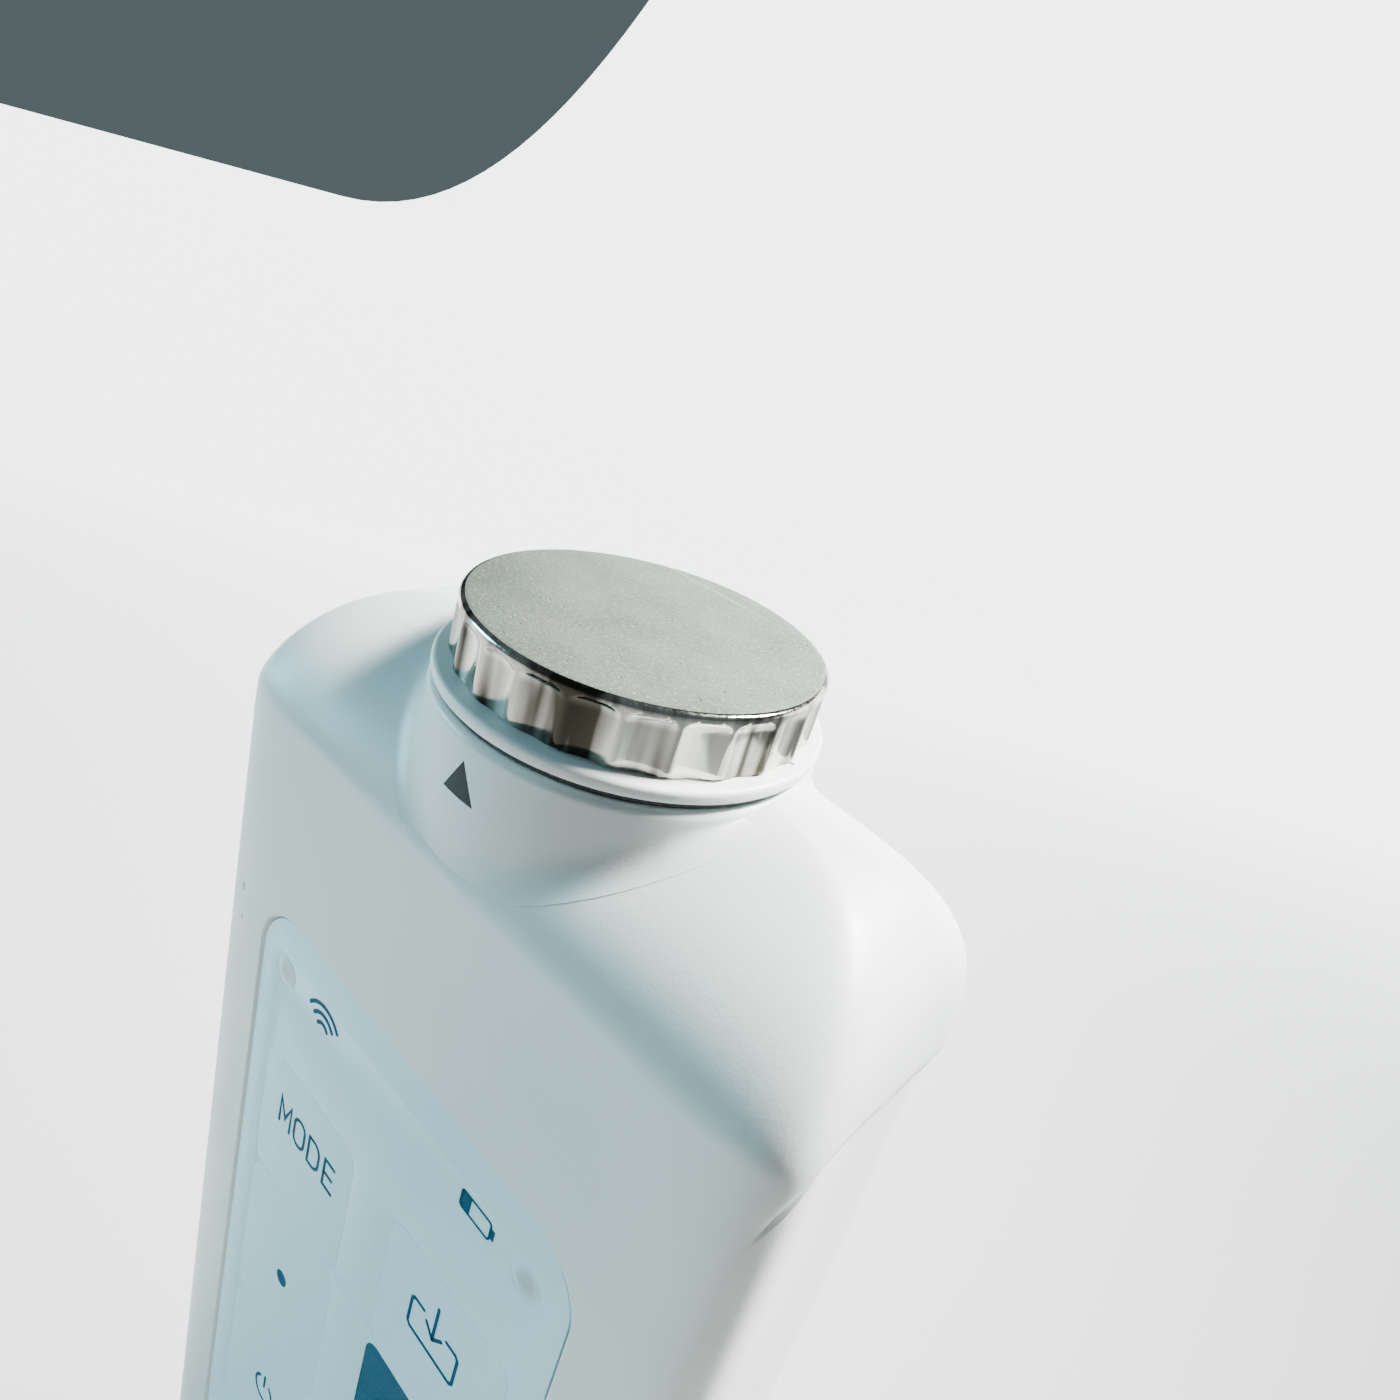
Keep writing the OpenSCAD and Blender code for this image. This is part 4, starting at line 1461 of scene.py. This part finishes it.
@dataclass
class Keypad:
    """The film, its keys, its two lamp windows and the marks printed on them."""

    window_gap: float = 0.03
    flush: float = 0.1
    print_w: float = 0.42

    def plate(self, key: str, low: np.ndarray, high: np.ndarray) -> bpy.types.Object:
        """Makes a key's plate, flush with the film at its rim and faintly raised in the middle.

        Args:
            key: the key's CAD node.
            low: the node's lowest corner.
            high: the node's highest corner.

        Returns:
            The plate.
        """
        middle, size = (low + high) / 2, high - low + 2 * (KEY_GAP - self.window_gap)
        steps = [(0.0, 0.5), (0.0, self.flush), (0.5, self.flush - 0.002), (1.2, self.flush - 0.015),
                 (2.0, self.flush - 0.035), (2.8, self.flush - 0.048), (3.6, self.flush - 0.05),
                 (4.5, self.flush - 0.05)]
        rings = [at_depth(round_box(size[0], size[2], KEY_CORNER, inset, 14) + middle[[0, 2]], low[1] + sink)
                 for inset, sink in steps]
        return loft(key + "_plate", np.array(rings), 60.0)

    def film(self, finishes: Finishes) -> None:
        """Makes the film from flat outlines, with its key and lamp windows left open.

        Args:
            finishes: the unit's finishes.
        """
        low, high = node_box("keypad_film")
        middle, size = (low + high) / 2, high - low
        bevel = 0.03
        curve = bpy.data.curves.new("keypad_film_sheet", "CURVE")
        curve.dimensions = "2D"
        curve.fill_mode = "BOTH"
        curve.extrude = (size[1] / 2 - bevel) * MM
        curve.bevel_depth = bevel * MM
        curve.bevel_resolution = 2
        outlines = [round_box(size[0], size[2], PANEL_CORNER, bevel, 20) + middle[[0, 2]]]
        for key in KEYS:
            outlines.append(key_window(*node_box(key), -bevel))
        for lamp in LAMPS:
            l_low, l_high = node_box(lamp)
            centre = (l_low + l_high) / 2
            radius = (l_high[0] - l_low[0]) / 2 + bevel
            outlines.append(arc((centre[0], centre[2]), radius, 0, 352.5, 48))
        for line in outlines:
            spline = curve.splines.new("POLY")
            spline.points.add(len(line) - 1)
            flat = np.column_stack([line * MM, np.zeros(len(line)), np.ones(len(line))])
            spline.points.foreach_set("co", flat.ravel())
            spline.use_cyclic_u = True
        flat_obj = bpy.data.objects.new("keypad_film_flat", curve)
        bpy.context.scene.collection.objects.link(flat_obj)
        bpy.context.view_layer.update()
        graph = bpy.context.evaluated_depsgraph_get()
        mesh = bpy.data.meshes.new_from_object(flat_obj.evaluated_get(graph))
        bpy.data.objects.remove(flat_obj)
        upright = Matrix.Rotation(math.pi / 2, 4, "X")
        mesh.transform(Matrix.Translation((0, middle[1] * MM, 0)) @ upright)
        obj = bpy.data.objects.new("keypad_film_sheet", mesh)
        mesh.name = "keypad_film_sheet"
        bpy.context.scene.collection.objects.link(obj)
        tidy_mesh(obj, 40.0)
        finishes.put(obj, "keypad_film")
        dress(obj, "casing", "keypad_film", "keypad_film")

    def key_tops(self, finishes: Finishes) -> None:
        """Makes the keys' plates, each over the whole of its CAD key.

        Args:
            finishes: the unit's finishes.
        """
        for key in KEYS:
            low, high = node_box(key)
            obj = self.plate(key, low, high)
            slot = "key_teal" if key == "expose_key" else "keypad_film"
            finishes.put(obj, slot)
            post = self.post(key, low, high)
            finishes.put(post, slot)
            dress(obj, key + "_cap", slot, key)
            dress(post, key + "_cap", slot)

    def post(self, key: str, low: np.ndarray, high: np.ndarray) -> bpy.types.Object:
        """Makes the plunger behind a key, a turned rod with a round tip.

        Args:
            key: the key's CAD node.
            low: the node's lowest corner.
            high: the node's highest corner.

        Returns:
            The plunger.
        """
        middle = (low + high) / 2
        profile = [(2.0, low[1] + 0.45), (2.0, high[1] - 0.6), (1.8, high[1] - 0.2), (1.2, high[1])]
        rings = [at_depth(circle(middle[0], middle[2], r, 48), y) for r, y in profile]
        return loft(key + "_plunger", np.array(rings), 50.0)

    def lamps(self, finishes: Finishes) -> None:
        """Makes the two lamp windows: shallow domed discs whose grey fades into the film.

        Args:
            finishes: the unit's finishes.
        """
        for node in LAMPS:
            low, high = node_box(node)
            middle = (low + high) / 2
            radius = (high[0] - low[0]) / 2
            shape = [(radius, high[1]), (radius, low[1] + 0.05), (radius * 0.97, low[1] + 0.01),
                     (radius * 0.6, low[1] - 0.01), (radius * 0.2, low[1] - 0.015)]
            rings = [at_depth(circle(middle[0], middle[2], r, 64), y) for r, y in shape]
            obj = loft(node + "_lens", np.array(rings), 50.0)
            face = (middle[0], low[1], middle[2])
            lens = LampLens(node + "_finish", face, FILM, LAMP_GREY, radius)
            obj.data.materials.append(lens.build())
            dress(obj, "casing", "light_lens", node)

    def marks(self, finishes: Finishes) -> None:
        """Prints the status marks on the film and a mark on each key but the expose key.

        Args:
            finishes: the unit's finishes.
        """
        film_y = node_box("keypad_film")[0][1]
        key_y = film_y - 0.05
        panel_top = node_box("keypad_film")[1][2]
        column = (node_box("save_key")[0][0] + node_box("save_key")[1][0]) / 2
        row = panel_top - 6.6
        self.wireless_mark(film_y, -column, row - 2.2, finishes)
        self.battery_mark(film_y, column + 0.6, row, finishes)
        self.word(key_y, -column + 0.6, panel_top - 25.6, finishes)
        self.tray_mark(key_y, column - 0.6, panel_top - 26.6, finishes)
        dot = Print("dot_mark", "dot_key_cap", key_y)
        dot.fill(arc((-column, panel_top - 50.0), 1.1, 0, 345, 24))
        dot.done(finishes)
        low, high = node_box("power_key")
        middle = (low + high) / 2
        power = Print("power_mark", "power_key_cap", key_y)
        power.stroke(arc((middle[0], middle[2]), 2.0, 125, 415, 30), self.print_w)
        power.stroke(np.array([[middle[0], middle[2] + 0.6], [middle[0], middle[2] + 2.6]]), self.print_w)
        power.done(finishes)

    def wireless_mark(self, y: float, x: float, z: float, finishes: Finishes) -> None:
        """Prints three arcs above a point.

        Args:
            y: depth of the face that carries the mark.
            x: x of the arcs' centre.
            z: z of the arcs' centre.
            finishes: the unit's finishes.
        """
        mark = Print("wireless_mark", "casing", y)
        for radius in (1.15, 2.3, 3.45):
            mark.stroke(arc((x, z), radius, 142, 38, 14), 0.5)
        mark.done(finishes)

    def battery_mark(self, y: float, x: float, z: float, finishes: Finishes) -> None:
        """Prints a battery outline whose left part is filled.

        Args:
            y: depth of the face that carries the mark.
            x: x of the mark's middle.
            z: z of the mark's middle.
            finishes: the unit's finishes.
        """
        mark = Print("battery_mark", "casing", y)
        mark.stroke(round_box(4.3, 2.1, 0.35, 0.0, 4) + [x, z], 0.26, True)
        mark.fill(np.array([[-2.1, -1.0], [-0.75, -1.0], [-0.75, 1.0], [-2.1, 1.0]]) + [x, z])
        mark.fill(np.array([[2.2, -0.6], [2.75, -0.6], [2.75, 0.6], [2.2, 0.6]]) + [x, z])
        mark.done(finishes)

    def tray_mark(self, y: float, x: float, z: float, finishes: Finishes) -> None:
        """Prints an open tray with an arrow that points down into it.

        Args:
            y: depth of the face that carries the mark.
            x: x of the mark's middle.
            z: z of the mark's middle.
            finishes: the unit's finishes.
        """
        mark = Print("save_mark", "save_key_cap", y)
        left = np.array([[-1.9, 2.1], [-3.4, 2.1], [-3.8, 1.7], [-3.8, -1.8], [-3.4, -2.2]])
        mark.stroke(np.vstack([left, left[::-1] * [-1, 1]]) + [x, z], self.print_w)
        mark.stroke(np.array([[0.0, 4.6], [0.0, 0.0]]) + [x, z], self.print_w)
        mark.stroke(np.array([[-1.25, 1.25], [0.0, 0.0], [1.25, 1.25]]) + [x, z], self.print_w)
        mark.done(finishes)

    def word(self, y: float, x: float, z: float, finishes: Finishes) -> None:
        """Prints the plain word MODE in an even stroke.

        Args:
            y: depth of the face that carries the mark.
            x: x of the word's middle.
            z: z of the word's middle.
            finishes: the unit's finishes.
        """
        mark = Print("mode_mark", "mode_key_cap", y)
        high, wide, pitch = 3.8, 2.2, 3.2
        left = x - 1.5 * pitch
        bottom = z - high / 2
        peaks = np.array([[-1.15, 0], [-1.15, high], [0, 1.2], [1.15, high], [1.15, 0]])
        mark.stroke(peaks + [left, bottom], self.print_w)
        mark.stroke(round_box(wide, high, 1.0, 0.0, 8) + [left + pitch, z], self.print_w, True)
        bow = np.vstack([[[-1.1, -high / 2]], arc((-0.1, -high / 2 + 1.2), 1.2, -90, 0, 8),
                         arc((-0.1, high / 2 - 1.2), 1.2, 0, 90, 8), [[-1.1, high / 2]]])
        mark.stroke(bow + [left + 2 * pitch, z], self.print_w, True)
        frame_line = np.array([[1.0, 0], [-0.9, 0], [-0.9, high], [1.0, high]])
        mark.stroke(frame_line + [left + 3 * pitch, bottom], self.print_w)
        mark.stroke(np.array([[-0.9, 0], [0.75, 0]]) + [left + 3 * pitch, z], self.print_w)
        mark.done(finishes)


# ---------------------------------------------------------------- the studio


@dataclass(frozen=True)
class Studio:
    """The camera, the pale sweep and the soft lights."""

    azimuth: float = 34.47
    elevation: float = 20.2
    roll: float = 16.5
    eye_distance: float = 85.2
    cap_offset: tuple[float, float] = (-4.75, -0.34)
    lens: float = 22.79
    shift: tuple[float, float] = (0.0, -0.06)

    def camera(self) -> None:
        """Places the camera so that the cap's top lies at its offset and distance in view."""
        az, el, roll = (math.radians(v) for v in (self.azimuth, self.elevation, self.roll))
        ahead = Vector((-math.sin(az) * math.cos(el), math.cos(az) * math.cos(el), -math.sin(el)))
        level = ahead.cross(Vector((0, 0, 1))).normalized()
        above = level.cross(ahead)
        right = math.cos(roll) * level + math.sin(roll) * above
        up = -math.sin(roll) * level + math.cos(roll) * above
        cap_top = Vector((0, 0, node_box("port_cap")[1][2]))
        eye = cap_top - self.cap_offset[0] * right - self.cap_offset[1] * up - self.eye_distance * ahead
        data = bpy.data.cameras.new("camera")
        data.lens = self.lens
        data.sensor_width = 36.0
        data.shift_x, data.shift_y = self.shift
        data.clip_start = 0.005
        camera = bpy.data.objects.new("camera", data)
        turn = Matrix((right, up, -ahead)).transposed().to_4x4()
        camera.matrix_world = Matrix.Translation(eye * MM) @ turn
        bpy.context.scene.collection.objects.link(camera)
        bpy.context.scene.camera = camera

    def light(self, name: str, place: tuple, aim: tuple, size: float, power: float,
              spread: float, colour: tuple) -> None:
        """Adds a square soft light.

        Args:
            name: the light's name.
            place: where it stands, in metres.
            aim: the point that it faces, in metres.
            size: its side, in metres.
            power: its power, in watts.
            spread: angle that its beam opens to, in degrees.
            colour: its colour.
        """
        data = bpy.data.lights.new(name, "AREA")
        data.size = size
        data.energy = power
        data.spread = math.radians(spread)
        data.color = colour
        lamp = bpy.data.objects.new(name, data)
        lamp.location = place
        lamp.rotation_euler = (Vector(place) - Vector(aim)).to_track_quat("Z", "Y").to_euler()
        bpy.context.scene.collection.objects.link(lamp)

    def sweep(self) -> None:
        """Makes the pale sweep, a wide sheet that is flat under the unit and curves up far behind it."""
        side = np.linspace(-9000.0, 9000.0, 19)
        x, y = np.meshgrid(side, np.concatenate([[-9000.0], np.linspace(-3000.0, 9000.0, 61)]))
        rise = np.maximum(y - 5000.0, 0.0)
        points = np.stack([x, y, rise**2 / 4000.0 - 0.02], axis=-1).reshape(-1, 3)
        floor = make_mesh("floor", points, grid_faces(len(x), len(side), False).tolist())
        floor.data.materials.append(LitPaper("floor_paper", (0.45, 0.46, 0.46)).build())

    def build(self) -> None:
        """Sets the whole studio up."""
        self.camera()
        self.sweep()
        shoulder = (0.0, 0.0, 0.17)
        self.light("key_light", (0.42, 0.66, 1.07), shoulder, 0.3, 7.0, 40, (1.0, 0.985, 0.93))
        self.light("left_light", (-1.05, -0.60, 0.40), shoulder, 0.45, 1.5, 50, (0.34, 0.80, 0.96))
        world = bpy.data.worlds.new("studio")
        world.use_nodes = True
        world.node_tree.nodes["Background"].inputs["Color"].default_value = (0.70, 0.92, 1.0, 1.0)
        world.node_tree.nodes["Background"].inputs["Strength"].default_value = 0.14
        bpy.context.scene.world = world


def dress_frame(finishes: Finishes) -> None:
    """Gives every CAD node that stays its finish, by the record's slots.

    Args:
        finishes: the unit's finishes.
    """
    slots = {part["node"]: part["material_slot"] for part in frame["record"]["subparts"]}
    for node, obj in frame["nodes"].items():
        finish = slots[node]
        if finish not in finishes.made:
            continue
        materials = obj.data.materials
        if not materials:
            materials.append(finishes[finish])
        for i in range(len(materials)):
            materials[i] = finishes[finish]


def main() -> None:
    """Builds the studio, the finishes and every sub-assembly in turn."""
    logging.basicConfig(level=logging.INFO, format="%(name)s %(message)s")
    Studio().build()
    finishes = Finishes()
    dress_frame(finishes)
    low, high = node_box("front_shell")
    form = CasingForm(half_w=high[0], half_d=-low[1], top=high[2] + 0.02)
    panel_low, panel_high = node_box("keypad_film")
    casing = Casing(form, GripOutline(), high[1], panel_low, panel_high)
    casing.front(finishes)
    casing.rear(finishes)
    for side in Side:
        casing.side_grip(side, finishes)
    casing.battery_door(finishes)
    casing.base(finishes)
    port = Port(form)
    port.collar(finishes)
    port.flange(finishes)
    port.seal(finishes)
    port.cap(finishes)
    keypad = Keypad()
    keypad.film(finishes)
    keypad.key_tops(finishes)
    keypad.lamps(finishes)
    keypad.marks(finishes)


if __name__ == "__main__":
    main()
